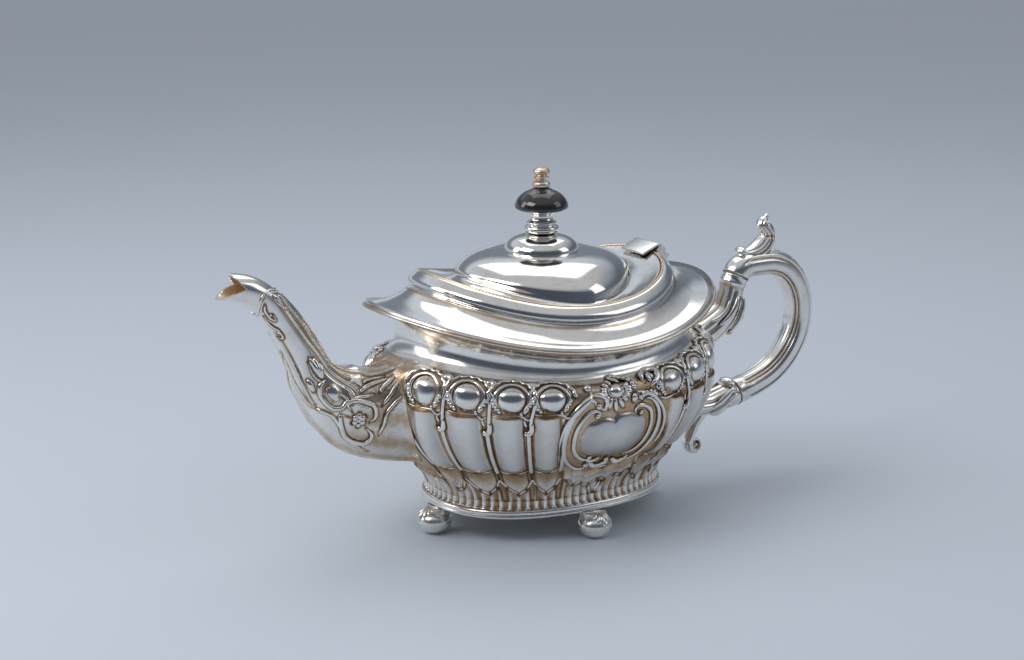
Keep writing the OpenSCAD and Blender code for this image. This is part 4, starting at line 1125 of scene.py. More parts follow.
def spout_ground(bowl):
    """The spout's chased skin as a ground for lines, with its browned hollows."""
    skin = spout_skin(bowl)
    aa, rr = np.meshgrid(skin.across, skin.up)
    folded = np.where(aa > 180, 360 - aa, aa)
    lift = np.zeros_like(rr)
    grime = np.zeros_like(rr)
    flat = skin.p.reshape(-1, 3)
    start = ease((rr - 26.0) / 3.0)
    for points, height, width in SPOUT_RIDGES:
        for side in (1, -1):
            q = through([(side * t, r) for t, r in points], 60)
            line, _ = skin.at(q[:, 0] % 360, q[:, 1])
            gap = apart(flat, line).reshape(rr.shape)
            lift += start * (height * bump_at(gap, 0, width)
                             - 0.6 * height * bump_at(gap, 2.1 * width, width))
            grime = np.maximum(grime, start * 0.75 * bump_at(gap, 1.7 * width, 0.75 * width))
    for (turn, along), size, height in SPOUT_DOMES:
        for side in (1, -1):
            centre, _ = skin.at([side * turn % 360], [along])
            gap = apart(flat, centre).reshape(rr.shape) / size
            lift += height * np.clip(1 - gap ** 2, 0, 1) ** 0.7
            grime = np.maximum(grime * (gap > 0.95), 0.85 * bump_at(gap * size - size, 0.3, 0.45))
    root = ease((rr - 74.0) / 22.0)
    grime = np.maximum(grime, 0.55 * root * (0.5 + 0.5 * np.sin(folded / 9.0) ** 2))
    # darker along the spout's underside, growing towards the root
    grime = np.maximum(grime, 0.45 * ease((rr - 45.0) / 40.0) * ease((folded - 140.0) / 25.0))
    grime = np.maximum(grime, 0.9 * ease((rr - skin.up[-1] + 2.2) / 2.0))
    stipple = (ease((rr - 66.0) / 30.0) * (1 - ease((folded - 128.0) / 22.0))
               * (1 - ease((26.0 - folded) / 12.0)))
    lift *= 1 - ease((rr - skin.up[-1] + 7.0) / 6.0)
    outer = skin.p + skin.n * lift[:, :, None]
    return Ground(outer, skin.n, skin.across, skin.up, 360.0), skin, grime, stipple


def make_spout(skin, ground, grime, stipple, spots):
    """The spout's tube with its gilt bore and its beak."""
    count, cols = skin.p.shape[:2]
    outer = ground.p
    # tarnish and painted shade lie in a narrow band beside every raised line
    t, r, w = np.array(spots).T
    place, _ = ground.at(t % 360, r)
    flat = outer.reshape(-1, 3)
    for low, high in ((0, 0.5), (0.5, 0.8), (0.8, 9)):
        some = place[(w >= low) & (w < high)]
        if len(some):
            halo = 1 - (apart(flat, some, (low + min(high, 1.2)) / 2) / 1.1).reshape(grime.shape)
            grime = np.maximum(grime, 0.95 * ease(halo))
    wall = 1.1 - 0.75 * ease((skin.up - skin.up[-1] + 14.0) / 12.0)
    inner = (skin.p - skin.n * wall[:, None, None])[::-1][::3]
    points = np.concatenate([outer, inner])
    total = len(points)
    inside = np.zeros((total, cols))
    inside[count:] = 1.0
    blank = np.zeros((len(inner), cols))
    spout = new_mesh("spout_tube", points.reshape(-1, 3), grid_faces(total, cols, True),
                     {"grime": np.concatenate([grime, blank + 0.1]), "gilt": inside,
                      "stipple": np.concatenate([stipple, blank])})
    recalculated(spout)
    lip_x, lip_z = -mm("spout_reach"), mm("spout_lip_z")
    return cut(spout, extruded("beak_cut", [(lip_x + x, lip_z + z) for x, z in BEAK], 14))


def make_spout_chasing(ground):
    """Collar, leaf, scrolls and rosettes on the spout's flanks."""
    work = Chasing()
    t = np.linspace(0, 360, 97)
    for shift, r in ((0.0, 0.5), (1.35, 0.38)):
        up = 21.7 + 2.7 * (1 + np.cos(np.radians(2 * t))) + shift
        p, n = ground.at(t % 360, up)
        p[-1], n[-1] = p[0], n[0]
        work.tube(p + n * (r * 0.3), n, r, r * 0.9)

    for side in (1, -1):

        def lay(points, width, high=0.72, **more):
            work.line(ground, [((side * x) % 360, y) for x, y in points], width, high=high, **more)

        def dot(x, y, width, high=0.6):
            work.bead(ground, ((side * x) % 360, y), width, 0.05, high, turn=math.pi / 2)
        # curls under the collar
        lay([(104, 24.5), (114, 25.6), (124, 27.6), (128, 30.6), (122, 33), (114, 32.6), (113, 30.4)], 1.0)
        lay([(143, 29), (147, 32.6), (141, 36.4), (133, 38.3), (131, 41), (140, 42.6), (150, 41)], 1.0)
        dot(119, 30.4, 1.3)
        dot(139, 39.6, 1.3)
        lay([(66, 25.8), (74, 29), (72, 32.4), (64, 32.4)], 0.7)
        # the three-lobed leaf and the oval
        for tip in ((94, 55.5), (84, 56.6), (76, 59.6)):
            lay([(88, 66.2), (mix(88, tip[0], 0.5), mix(66.2, tip[1], 0.5) - 0.5), tip], 2.2,
                swell=[0.7, 1.25, 0.8], taper=(0.5, 0.35), high=0.6, step=0.7)
        lay([(101, 56.8), (103, 62), (96, 66), (86, 67)], 0.6)
        lay([(121, 63.2), (119.5, 65.8), (118, 68.6)], 2.4, swell=[0.7, 1.1, 0.7], high=0.4, step=0.7)
        # C-scroll round a disc
        lay([(81, 67.4), (93, 67.2), (105, 68.4), (112, 71.6), (111, 75.6), (103, 78.9), (92, 80), (84, 78.9),
             (84, 76.6), (89, 76.2)], 1.75, swell=[0.6, 1, 1.2, 1.2, 1.1, 1, 0.8])
        lay([(86, 70.6), (95, 70.4), (102, 72.6), (100, 75.6)], 0.55)
        # bow and the double scroll with its flower
        lay([(70, 77), (76, 80.2), (80, 82), (74, 84.6), (70, 88.6), (66, 93)], 1.5)
        lay([(96, 84.6), (92, 81.6), (83, 82.6), (78, 86.8), (80, 91.8), (89, 94.8), (98, 94.8), (103, 93.2)],
            1.8, swell=[0.6, 1, 1.2, 1.2, 1.1, 0.8])
        lay([(104, 84.4), (108, 81.4), (117, 82.2), (127, 84.9), (134, 88.7), (134, 92.0), (127, 94.8),
             (116, 94.8), (110, 92.6)], 1.8, swell=[0.6, 1, 1.2, 1.2, 1.1, 0.8])
        for k in range(6):
            turn = math.radians(60 * k + 15)
            lay([(102 + 1.2 * math.cos(turn), 88.8 + 0.4 * math.sin(turn)),
                 (102 + 9.4 * math.cos(turn), 88.8 + 3.1 * math.sin(turn))], 2.3, high=0.55, step=0.6,
                swell=[0.7, 1.2, 0.9])
        dot(102, 88.8, 2.2, 0.8)
        lay([(137, 73.6), (130, 75), (124, 76.6), (119, 79.2), (123, 82.3), (130, 86.5), (139, 91),
             (146, 96)], 1.5)
        # leaves that run on over the bowl's shoulder
        lay([(69, 84), (60, 86), (50, 90), (42, 96), (38, 103)], 1.6, swell=[0.6, 1.2, 1.2, 0.7], high=0.45)
        lay([(66, 95), (54, 98), (44, 102.6), (34, 107)], 1.7, swell=[0.6, 1.2, 1.2, 0.6], high=0.45)
        lay([(84, 97), (72, 100.4), (60, 104.4), (52, 108.4)], 1.5, swell=[0.6, 1.2, 1.1, 0.6], high=0.45)
        lay([(50, 85), (42, 88), (36, 93), (34, 99)], 1.2)
        lay([(118, 97.5), (104, 98.8), (90, 100), (80, 104), (74, 108.6)], 1.6)
    return work.piece("spout_chasing"), work.spots


# ---- handle ----

GRIP = [(0.13, 0.075), (0.31, 0.085), (0.52, 0.075), (0.7, 0.03), (0.87, -0.075), (0.97, -0.215), (1, -0.38),
        (0.945, -0.56), (0.79, -0.73), (0.56, -0.865), (0.27, -0.95)]
JOINT_X, UP_Z, LOW_Z, REACH = 105.0, 94.0, 39.0, 141.8
UP_DIR, LOW_DIR, SOCKET_R = (0.45, 0.893), (0.97, 0.24), 6.3


def stub(point, way, d, rn, ry):
    """A point of a path at the distance d from a joint."""
    return (point[0] + way[0] * d, point[1] + way[1] * d, rn, ry)


def closed_sweep(name, path, cols, section, lift, grime):
    """A solid bar along a path, with closed ends."""
    p = sweep(path, cols, section)
    out = p - np.stack([path[:, 0], 0 * path[:, 0], path[:, 1]], 1)[:, None]
    p = p + unit(out) * lift[:, :, None]
    return recalculated(new_mesh(name, p.reshape(-1, 3), capped_faces(len(p), cols),
                                 {"grime": np.clip(grime, 0, 1)}))


def notches(angle, places):
    """Ridges and grooves round a bar: (degrees from the outer side, height, width) on both flanks."""
    folded = np.abs((np.degrees(angle) + 180) % 360 - 180)
    return sum(height * bump_at(folded, place, width) for place, height, width in places)


def make_grip():
    """The ribbed grip between the joints, and its path."""
    up, low = (JOINT_X, UP_Z), (JOINT_X, LOW_Z)
    rn, ry = mm("grip_t") / 2 - 0.1, mm("grip_w") / 2 - 0.3
    points = [stub(up, UP_DIR, d, SOCKET_R - 0.2, SOCKET_R) for d in (0.4, 1.4)]
    points += [(mix(JOINT_X, REACH, g), UP_Z + h * (UP_Z - LOW_Z), rn, ry) for g, h in GRIP]
    points += [stub(low, LOW_DIR, d, SOCKET_R - 0.3, SOCKET_R) for d in (1.4, 0.4)]
    path = through(points, 170, keys=[0, 1])
    a, t = even_turns(144), np.linspace(0, 1, 170)[:, None]
    fade = ease((t - 0.02) / 0.06) * ease((0.985 - t) / 0.05)
    ridges = notches(a, [(48, 0.35, 7), (62, -0.8, 6), (104, 0.25, 16), (126, -0.75, 4.5), (134, 0.3, 3.5),
                         (142, -0.6, 4), (149, 0.35, 4), (165, -0.3, 9), (180, -0.4, 8)])[None]
    hollow = notches(a, [(62, 0.75, 5), (126, 0.85, 4), (142, 0.85, 4)])[None]
    grime = hollow * fade + 0.25 * notches(a, [(175, 1, 22)])[None] * fade
    return closed_sweep("grip", path, 144, 2.1, ridges * fade, grime), path


def scroll(work, centre, size, turns, start, wide, thick=0.9, flip=1):
    """A band rolled into a spiral, standing across the middle plane."""
    t = np.linspace(0, 1, int(26 * turns) + 4)
    a = math.radians(start) + flip * t * turns * 2 * math.pi
    r = size * (1 - 0.72 * t)
    out = np.stack([np.cos(a), 0 * a, np.sin(a)], 1)
    c = np.stack([centre[0] + r * out[:, 0], 0 * t, centre[1] + r * out[:, 2]], 1)
    work.tube(c, out, wide * (1 - 0.3 * t) * np.sqrt(np.clip(np.minimum(t, 1 - t) * 12 + 0.3, 0, 1)),
              thick * (1 - 0.2 * t), 0.6)
    ball_at(work, centre, size * 0.42, wide * 1.12 / (size * 0.42))


def ball_at(work, place, r, wide):
    """A ball on the middle plane, drawn out across it."""
    t = np.linspace(0, math.pi, 15)
    c = np.stack([np.full(15, place[0]), -np.cos(t) * r * wide, np.full(15, place[1])], 1)
    rr = np.maximum(np.sin(t), 0.03) * r
    work.tube(c, np.tile([[1.0, 0, 0]], (15, 1)), rr, rr, 0.12)


# Leaf ribs at the joints: (x, half width, z) from the joint, then width and height
UPPER_LEAVES = [([(-2.4, 5.6, -8), (-4.4, 6.5, -12.5), (-8.0, 6.6, -17), (-13.5, 6.4, -20.5)], 2.6, 0.9),
                ([(1.0, 4.6, -9), (0.6, 5.2, -13.5), (-1.8, 5.6, -19), (-7.5, 5.8, -25)], 2.4, 0.9),
                ([(-6.5, 4.8, -9.5), (-8.6, 5.6, -13.5), (-13, 5.9, -17), (-18, 6.0, -18)], 2.0, 0.8)]
LOWER_LEAVES = [([(-3.6, 5.6, 4.2), (-7.2, 6.0, 1.4), (-12.0, 5.7, -2.2), (-17.0, 5.0, -5.0)], 2.8, 0.9),
                ([(-1.6, 5.9, 1.2), (-6.0, 6.0, -1.6), (-11.0, 5.2, -5.2), (-16.4, 4.2, -7.2)], 2.0, 0.8),
                ([(-15.6, 2.0, -7.0), (-11.4, 2.1, -7.6), (-7.6, 1.9, -6.4), (-5.8, 1.4, -7.6)], 2.8, 1.7)]


def leaf_ribs(work, leaves, joint_z):
    """The leaf ribs of a table, on both flanks."""
    t = np.linspace(0, 1, 24)
    swell = np.interp(t, np.linspace(0, 1, 4), (0.6, 1.1, 1.1, 0.5))
    swell *= np.sqrt(np.clip(np.minimum(t, 1 - t) * 14, 0.1, 1))
    for side in (-1, 1):
        for points, width, high in leaves:
            line = through([(JOINT_X + x, side * y, joint_z + z) for x, y, z in points], 24)
            work.tube(line, np.tile([[0.0, side, 0.0]], (24, 1)), width / 2 * swell, high * swell)


def make_upper_socket():
    """The upper socket, with leaf flutes that spread as they run down to the bowl, and its scrolls."""
    up, bx, bz = (JOINT_X, UP_Z), mm("belly_len") / 2, mm("belly_z")
    path = through([(bx - 9, bz + 1, 9, 6.5), (bx + 1, bz + 1.5, 8.2, 6.5), (bx + 9, bz + 4.5, 7.6, 6.4),
                    (JOINT_X - 6.5, UP_Z - 16, 6.6, 6.4), (JOINT_X - 3.6, UP_Z - 9, 5.9, 6.0),
                    stub(up, UP_DIR, -3.4, SOCKET_R - 0.5, SOCKET_R - 0.4),
                    stub(up, UP_DIR, -0.4, SOCKET_R - 0.2, SOCKET_R)], 90, keys=[0, 1])
    a, t = even_turns(112), np.linspace(0, 1, 90)[:, None]
    fade = ease((0.93 - t) / 0.1)
    folds = np.abs(np.sin(a[None] * 3.5 + 1.1 + 0.9 * t))
    collar = bump_at(t, 0.93, 0.018) * 0.45
    lift = fade * (0.9 * folds ** 0.7 - 0.75) + collar * (t < 0.985)
    grime = fade * np.clip(1 - 2.6 * folds, 0, 1) * 0.95 + 0.5 * bump_at(t, 0.895, 0.014)
    socket = closed_sweep("upper_socket", path, 112, 2.0, lift, grime)
    work = Chasing(16)
    scroll(work, (JOINT_X + 0.4, UP_Z - 18.6), 3.1, 1.3, 150, 3.4, flip=-1)
    scroll(work, (JOINT_X - 4.6, UP_Z - 25.6), 2.0, 1.1, 170, 3.0, 0.7, flip=-1)
    leaf_ribs(work, UPPER_LEAVES, UP_Z)
    return joined([socket, work.piece("socket_scrolls")], "upper_socket")


def make_lower_socket():
    """The lower socket with the curled tail under it, its volute and its leaves."""
    low = (JOINT_X, LOW_Z)
    path = through([stub(low, LOW_DIR, -0.4, SOCKET_R - 0.3, SOCKET_R),
                    stub(low, LOW_DIR, -1.4, SOCKET_R - 0.3, SOCKET_R), (JOINT_X - 8, LOW_Z - 1.7, 5.6, 5.7),
                    (JOINT_X - 16, LOW_Z - 3, 5.2, 5.6), (JOINT_X - 25, LOW_Z - 2.6, 6.0, 6),
                    (mm("waist_len") / 2 + 14, LOW_Z - 1, 7.0, 6.6)], 80, keys=[0, 1])
    a, t = even_turns(112), np.linspace(0, 1, 80)[:, None]
    folds = np.abs(np.sin(a[None] * 3.0 + 0.5 + 0.6 * t))
    fade = ease((t - 0.06) / 0.12)
    socket = closed_sweep("lower_socket", path, 112, 2.0, fade * (0.8 * folds ** 0.7 - 0.65),
                          fade * np.clip(1 - 2.6 * folds, 0, 1))
    path = through([(JOINT_X + x, LOW_Z + z, rn, ry) for x, z, rn, ry in (
        (-12, -4.5, 2.8, 3.6), (-17.5, -6.4, 2.6, 3.6), (-21.4, -10.6, 2.2, 3.3), (-24.0, -15.5, 2.0, 3.1),
        (-25.6, -20.0, 2.0, 3.2), (-24.8, -23.2, 1.8, 3.3), (-22.4, -24.0, 1.6, 3.3))], 60, keys=[0, 1])
    turn = np.degrees(even_turns(48))
    groove = -0.35 * bump_at(turn, 270, 16) - 0.35 * bump_at(turn, 90, 16)
    tail = closed_sweep("tail", path, 48, 2.0, np.tile(groove, (60, 1)), np.zeros((60, 48)))
    work = Chasing(16)
    scroll(work, (JOINT_X - 22.9, LOW_Z - 20.8), 3.0, 1.3, 250, 3.3)
    ball_at(work, (JOINT_X - 4.0, LOW_Z + 4.6), 3.1, 1.75)
    ball_at(work, (JOINT_X - 3.4, LOW_Z + 2.2), 3.5, 1.7)
    leaf_ribs(work, LOWER_LEAVES, LOW_Z)
    return joined([socket, tail, work.piece("lower_scrolls")], "lower_socket")


def make_thumb_rest():
    """The scrolled thumb rest with its two curled tips."""
    foot_z = UP_Z + 0.085 * (UP_Z - LOW_Z) + mm("grip_t") / 2
    path = through([(JOINT_X + x, foot_z + z, rn, ry) for x, z, rn, ry in (
        (2.6, -0.8, 1.8, 2.6), (6.4, -1.4, 3.0, 3.8), (11.4, -0.6, 4.2, 4.8), (15.8, 2.6, 4.4, 4.8),
        (17.6, 6.2, 3.7, 4.3), (16.6, 9.0, 3.6, 4.0), (14.9, 11.2, 3.4, 3.6), (15.2, 13.2, 2.2, 2.8),
        (16.6, 14.4, 1.1, 1.6))], 90, keys=[0, 1])
    t = np.linspace(0, 1, 90)[:, None]
    grooves = notches(even_turns(72), [(88, -0.5, 9), (52, -0.35, 8), (126, -0.35, 8)])[None]
    lift = ease(t / 0.1) * ease((1 - t) / 0.12) * (grooves - 0.45 * bump_at(t, 0.66, 0.03))
    rest = closed_sweep("thumb_scroll", path, 72, 2.0, lift, -1.1 * lift + 0.05)
    work = Chasing(16)
    ball_at(work, (JOINT_X + 2.5, foot_z + 0.2), 2.2, 1.7)
    ball_at(work, (JOINT_X + 17.0, foot_z + 15.0), 1.35, 1.2)
    return joined([rest, work.piece("thumb_tips")], "thumb_scroll")


def make_grip_leaf(path):
    """The leaf chased on the grip's outer side, behind the thumb rest."""
    p = sweep(path, 72, section=2.1)
    run = run_along(path)
    ground = Ground(p, bar_normals(p), np.arange(72) * 5.0, run, 360.0)
    work = Chasing()
    start = run[np.argmin(np.abs(path[:60, 0] - JOINT_X - 17))]
    # the outer side lies at 0 or 180 degrees, whichever is farther from the grip's middle
    middle = len(path) // 2
    back = 0.0 if p[middle, 0, 0] > p[middle, 36, 0] else 180.0
    swell = [0.6, 1.2, 0.7]
    for side in (-1, 1):
        for at in (start + 5.2 * k for k in range(4)):
            work.line(ground, [(back + side * 4, at), (back + side * 22, at + 3.2),
                               (back + side * 30, at + 7.4)], 2.4, high=0.3, swell=swell)
    stem = [(back, start + up) for up in (-2, 12, 27)]
    work.line(ground, stem, 2.2, high=0.35, swell=swell)
    work.bead(ground, (back, start + 29.5), 3.2, 0.2, high=0.6, turn=math.pi / 2)
    return work.piece("grip_leaf")


# ---- hinge ----

def make_hinge_leaf():
    """A flat plate that leans on the lid, with a gabled ridge over the pin, its knuckle and its arm."""
    x, z = hinge_axis()
    plate = [(0.45, 3.2), (-1.1, 3.72), (-2.0, 3.5), (-9.7, 0.25), (-9.8, -0.35), (-9.4, -0.75), (-2.2, 2.45),
             (0.4, 2.5)]
    arm = [(0.4, 3.0), (-2.0, 3.1), (-8.6, 0.2), (-8.6, -1.0), (-4.3, 0.95), (-2.2, 0.95), (-0.6, 0.9)]
    leaf = extruded("leaf_plate", [(x + a, z + b) for a, b in plate], 8.5)
    choose(leaf)
    soft = leaf.modifiers.new("Soft edges", "BEVEL")
    soft.width, soft.segments, soft.limit_method = 0.3 * MM, 3, "ANGLE"
    bpy.ops.object.modifier_apply(modifier=soft.name)
    bpy.ops.object.shade_smooth_by_angle(angle=math.radians(40))
    knuckle = settle(cylinder(2.5, 7.0, (x, 0, z), (math.pi / 2, 0, 0), 40), "lid_knuckle")
    arm = extruded("leaf_arm", [(x + a, z + b) for a, b in arm], 3.45)
    return joined([leaf, knuckle, arm], "hinge_leaf_shaped")


# ---- finishes ----

def group_of(name, inputs, outputs):
    """An empty node group with named sockets."""
    tree = bpy.data.node_groups.new(name, "ShaderNodeTree")
    for label, kind, default in inputs:
        item = tree.interface.new_socket(name=label, in_out="INPUT", socket_type=kind)
        if default is not None:
            item.default_value = default
    for label, kind in outputs:
        tree.interface.new_socket(name=label, in_out="OUTPUT", socket_type=kind)
    return tree, tree.nodes.new("NodeGroupInput"), tree.nodes.new("NodeGroupOutput")


class Nodes:
    """Short ways of adding and joining nodes in one tree."""

    def __init__(self, tree):
        self.tree = tree

    def add(self, kind, inputs=None, **settings):
        node = self.tree.nodes.new(kind)
        for key, value in settings.items():
            setattr(node, key, value)
        for key, value in (inputs or {}).items():
            self.put(node.inputs[key], value)
        return node

    def join(self, source, target):
        self.tree.links.new(source, target)

    def put(self, socket, value):
        if isinstance(value, bpy.types.NodeSocket):
            self.join(value, socket)
        else:
            socket.default_value = value

    def math(self, kind, a, b):
        return self.add("ShaderNodeMath", {0: a, 1: b}, operation=kind).outputs[0]

    def times(self, a, b):
        return self.math("MULTIPLY", a, b)

    def plus(self, a, b):
        return self.math("ADD", a, b)

    def blend(self, share, a, b):
        return self.add("ShaderNodeMix", {0: share, 6: a, 7: b}, data_type="RGBA").outputs[2]

    def value_blend(self, share, a, b):
        return self.add("ShaderNodeMix", {0: share, 2: a, 3: b}, data_type="FLOAT").outputs[0]

    def noise(self, place, scale, detail=3.0, rough=0.55, distortion=0.0):
        return self.add("ShaderNodeTexNoise", {"Vector": place, "Scale": scale, "Detail": detail,
                                               "Roughness": rough, "Distortion": distortion}).outputs["Fac"]

    def ramp(self, share, low, high):
        return self.add("ShaderNodeMapRange", {"Value": share, "From Min": low, "From Max": high},
                        interpolation_type="SMOOTHSTEP").outputs["Result"]

    def mark(self, label):
        return self.add("ShaderNodeAttribute", attribute_name=label).outputs["Fac"]

    def off_middle(self, value, strength):
        """How far a noise is from its middle, times a strength."""
        return self.times(self.math("SUBTRACT", value, 0.5), strength)

    def place(self):
        return self.add("ShaderNodeTexCoord").outputs["Object"]

    def bump(self, height, distance, shader, strength=1.0):
        """Bends the shader's normals by a height."""
        node = self.add("ShaderNodeBump", {"Strength": strength, "Distance": distance, "Height": height})
        self.join(node.outputs["Normal"], shader.inputs["Normal"])


def new_material(name):
    """A material with the short ways for its nodes, and its shader."""
    material = bpy.data.materials.new(name)
    material.use_nodes = True
    return material, Nodes(material.node_tree), material.node_tree.nodes["Principled BSDF"]


def four(c, dim=1.0):
    return (c[0] * dim, c[1] * dim, c[2] * dim, 1.0)


def tarnish_group():
    """Silver that has browned: more so where Recess says that a cloth can't reach, and darker where Recess
    also carries painted shade beside raised lines.
    """
    made = bpy.data.node_groups.get("Tarnish")
    if made:
        return made
    tree, source, result = group_of("Tarnish", [
        ("Recess", "NodeSocketFloat", 0.0), ("Spread", "NodeSocketFloat", 0.5),
        ("Metal", "NodeSocketColor", (0.9, 0.88, 0.85, 1)),
        ("Brown", "NodeSocketColor", (0.4, 0.25, 0.12, 1)),
        ("Dirt", "NodeSocketColor", (0.08, 0.05, 0.03, 1)), ("Base Roughness", "NodeSocketFloat", 0.15)],
        [("Color", "NodeSocketColor"), ("Roughness", "NodeSocketFloat"), ("Mask", "NodeSocketFloat")])
    n = Nodes(tree)
    place = n.place()
    broad = n.noise(place, 38.0, 4.0, 0.6, 0.6)
    fine = n.noise(place, 420.0, 3.0, 0.6)
    spots = n.noise(place, 130.0, 2.0, 0.5, 1.2)
    reach = n.plus(source.outputs["Recess"], n.off_middle(broad, 0.7))
    reach = n.plus(reach, n.off_middle(fine, 0.35))
    reach = n.plus(reach, n.off_middle(source.outputs["Spread"], 0.6))
    brown = n.ramp(reach, 0.12, 0.72)
    dirt_and_shade = n.ramp(reach, 0.66, 1.05)
    faint = n.times(n.ramp(spots, 0.45, 0.75), 0.16)
    shade = n.blend(n.math("MAXIMUM", n.times(brown, 0.9), faint), source.outputs["Metal"],
                    source.outputs["Brown"])
    shade = n.blend(n.times(dirt_and_shade, 0.85), shade, source.outputs["Dirt"])
    rough = n.plus(source.outputs["Base Roughness"], n.times(brown, 0.2))
    rough = n.plus(rough, n.times(dirt_and_shade, 0.25))
    rough = n.plus(rough, n.off_middle(fine, 0.06))
    n.join(shade, result.inputs["Color"])
    n.join(rough, result.inputs["Roughness"])
    n.join(n.math("MAXIMUM", brown, dirt_and_shade), result.inputs["Mask"])
    return tree


def polish_group():
    """The fine scratches and shallow dents of metal that has been rubbed for years."""
    made = bpy.data.node_groups.get("Rubbed metal")
    if made:
        return made
    tree, source, result = group_of("Rubbed metal", [
        ("Scratches", "NodeSocketFloat", 1.0), ("Dents", "NodeSocketFloat", 1.0),
        ("Stipple", "NodeSocketFloat", 0.0)],
        [("Height", "NodeSocketFloat"), ("Haze", "NodeSocketFloat")])
    n = Nodes(tree)
    place = n.place()
    streaks = []
    for stretch, turn, scale, distortion in (((1.0, 1.0, 9.0), (0.5, 0.35, 0.0), 620.0, 0.4),
                                             ((8.0, 1.0, 1.0), (0.2, 0.7, 0.9), 540.0, 0.3)):
        drawn = n.add("ShaderNodeMapping", {"Scale": stretch, "Rotation": turn, "Vector": place})
        streaks.append(n.noise(drawn.outputs["Vector"], scale, 2.0, 0.5, distortion))
    dent = n.noise(place, 46.0, 2.0, 0.45)
    punch = n.add("ShaderNodeTexVoronoi", {"Vector": place, "Scale": 900.0}, feature="F1")
    dots = n.times(punch.outputs["Distance"], source.outputs["Stipple"])
    fine = n.times(n.plus(*streaks), n.times(source.outputs["Scratches"], 0.012))
    height = n.plus(fine, n.times(dent, n.times(source.outputs["Dents"], 0.30)))
    height = n.plus(height, n.times(dots, 0.35))
    n.join(height, result.inputs["Height"])
    haze = n.times(n.ramp(n.times(*streaks), 0.2, 0.42), source.outputs["Scratches"])
    n.join(haze, result.inputs["Haze"])
    return tree


def silver_material(name, base_rough, recess=None, satin_and_shade=None, stipple=None, gilt=None, worn=None, spread=0.5,
                    dents=1.0, metal=None):
    """Silver plate: bright, rubbed or browned as the piece's own marks say; some marks also paint shade and
    highlights.
    """
    _, n, shader = new_material(name)
    f = finish()
    bright = four(metal or f.silver)
    aged = n.add("ShaderNodeGroup", node_tree=tarnish_group())
    rubbed = n.add("ShaderNodeGroup", {"Dents": dents}, node_tree=polish_group())
    if recess:
        n.put(aged.inputs["Recess"], n.mark(recess))
    aged.inputs["Spread"].default_value = spread * (0.5 + f.age)
    aged.inputs["Brown"].default_value = four(f.tarnish)
    aged.inputs["Dirt"].default_value = four(f.grime)
    if satin_and_shade:
        # painted shade and highlight: this mark lays the grey satin colour on flute sides more than on their
        # crowns
        mask = n.mark(satin_and_shade)
        bright = n.blend(mask, bright, four(f.satin_and_shade))
        base_rough = n.value_blend(mask, base_rough, 0.22)
    n.put(aged.inputs["Metal"], bright)
    n.put(aged.inputs["Base Roughness"], base_rough)
    shade, rough = aged.outputs["Color"], aged.outputs["Roughness"]
    if worn:
        share = n.ramp(n.plus(worn, n.off_middle(n.noise(n.place(), 190.0, 4.0, 0.6), 0.9)), 0.42, 0.72)
        shade = n.blend(share, shade, four(f.worn))
        rough = n.plus(rough, n.times(share, 0.12))
    if gilt:
        share = n.mark(gilt)
        shade = n.blend(share, shade, four(f.gilt))
        rough = n.value_blend(share, rough, 0.42)
        n.join(n.value_blend(share, 1.0, 0.45), shader.inputs["Metallic"])
    else:
        shader.inputs["Metallic"].default_value = 1.0
    n.join(shade, shader.inputs["Base Color"])
    n.join(n.plus(rough, n.times(rubbed.outputs["Haze"], 0.05)), shader.inputs["Roughness"])
    if stipple:
        n.put(rubbed.inputs["Stipple"], n.mark(stipple))
    n.bump(rubbed.outputs["Height"], 0.00045, shader)


def knob_material():
    _, n, shader = new_material("Black knob")
    place, black = n.place(), finish().knob
    cloud = n.noise(place, 90.0, 4.0, 0.6, 0.4)
    dust = n.ramp(n.noise(place, 900.0, 2.0, 0.6), 0.62, 0.8)
    n.join(n.blend(n.times(dust, 0.3), n.blend(cloud, four(black), four(black, 2.2)),
                   (0.12, 0.10, 0.085, 1)), shader.inputs["Base Color"])
    n.join(n.value_blend(cloud, 0.07, 0.16), shader.inputs["Roughness"])
    n.bump(n.noise(place, 300.0, 3.0, 0.6), 0.00015, shader, 0.5)
    shader.inputs["Coat Weight"].default_value = 0.6
    shader.inputs["Coat Roughness"].default_value = 0.04


def washer_material():
    _, n, shader = new_material("Joint washer")
    place = n.place()
    green = n.ramp(n.noise(place, 260.0, 4.0, 0.65), 0.5, 0.64)
    n.join(n.blend(green, four(finish().washer), (0.13, 0.26, 0.19, 1)), shader.inputs["Base Color"])
    n.join(n.value_blend(green, 0.45, 0.8), shader.inputs["Roughness"])
    n.bump(n.noise(place, 700.0, 3.0, 0.6), 0.0003, shader)


def dress(piece, material):
    """Gives the piece one finish."""
    piece.data.materials.clear()
    piece.data.materials.append(material)


def dress_node(node, material):
    """Gives a CAD node's object one finish in all its slots."""
    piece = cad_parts[node]
    if not piece.material_slots:
        piece.data.materials.append(material)
    for slot in piece.material_slots:
        slot.material = material


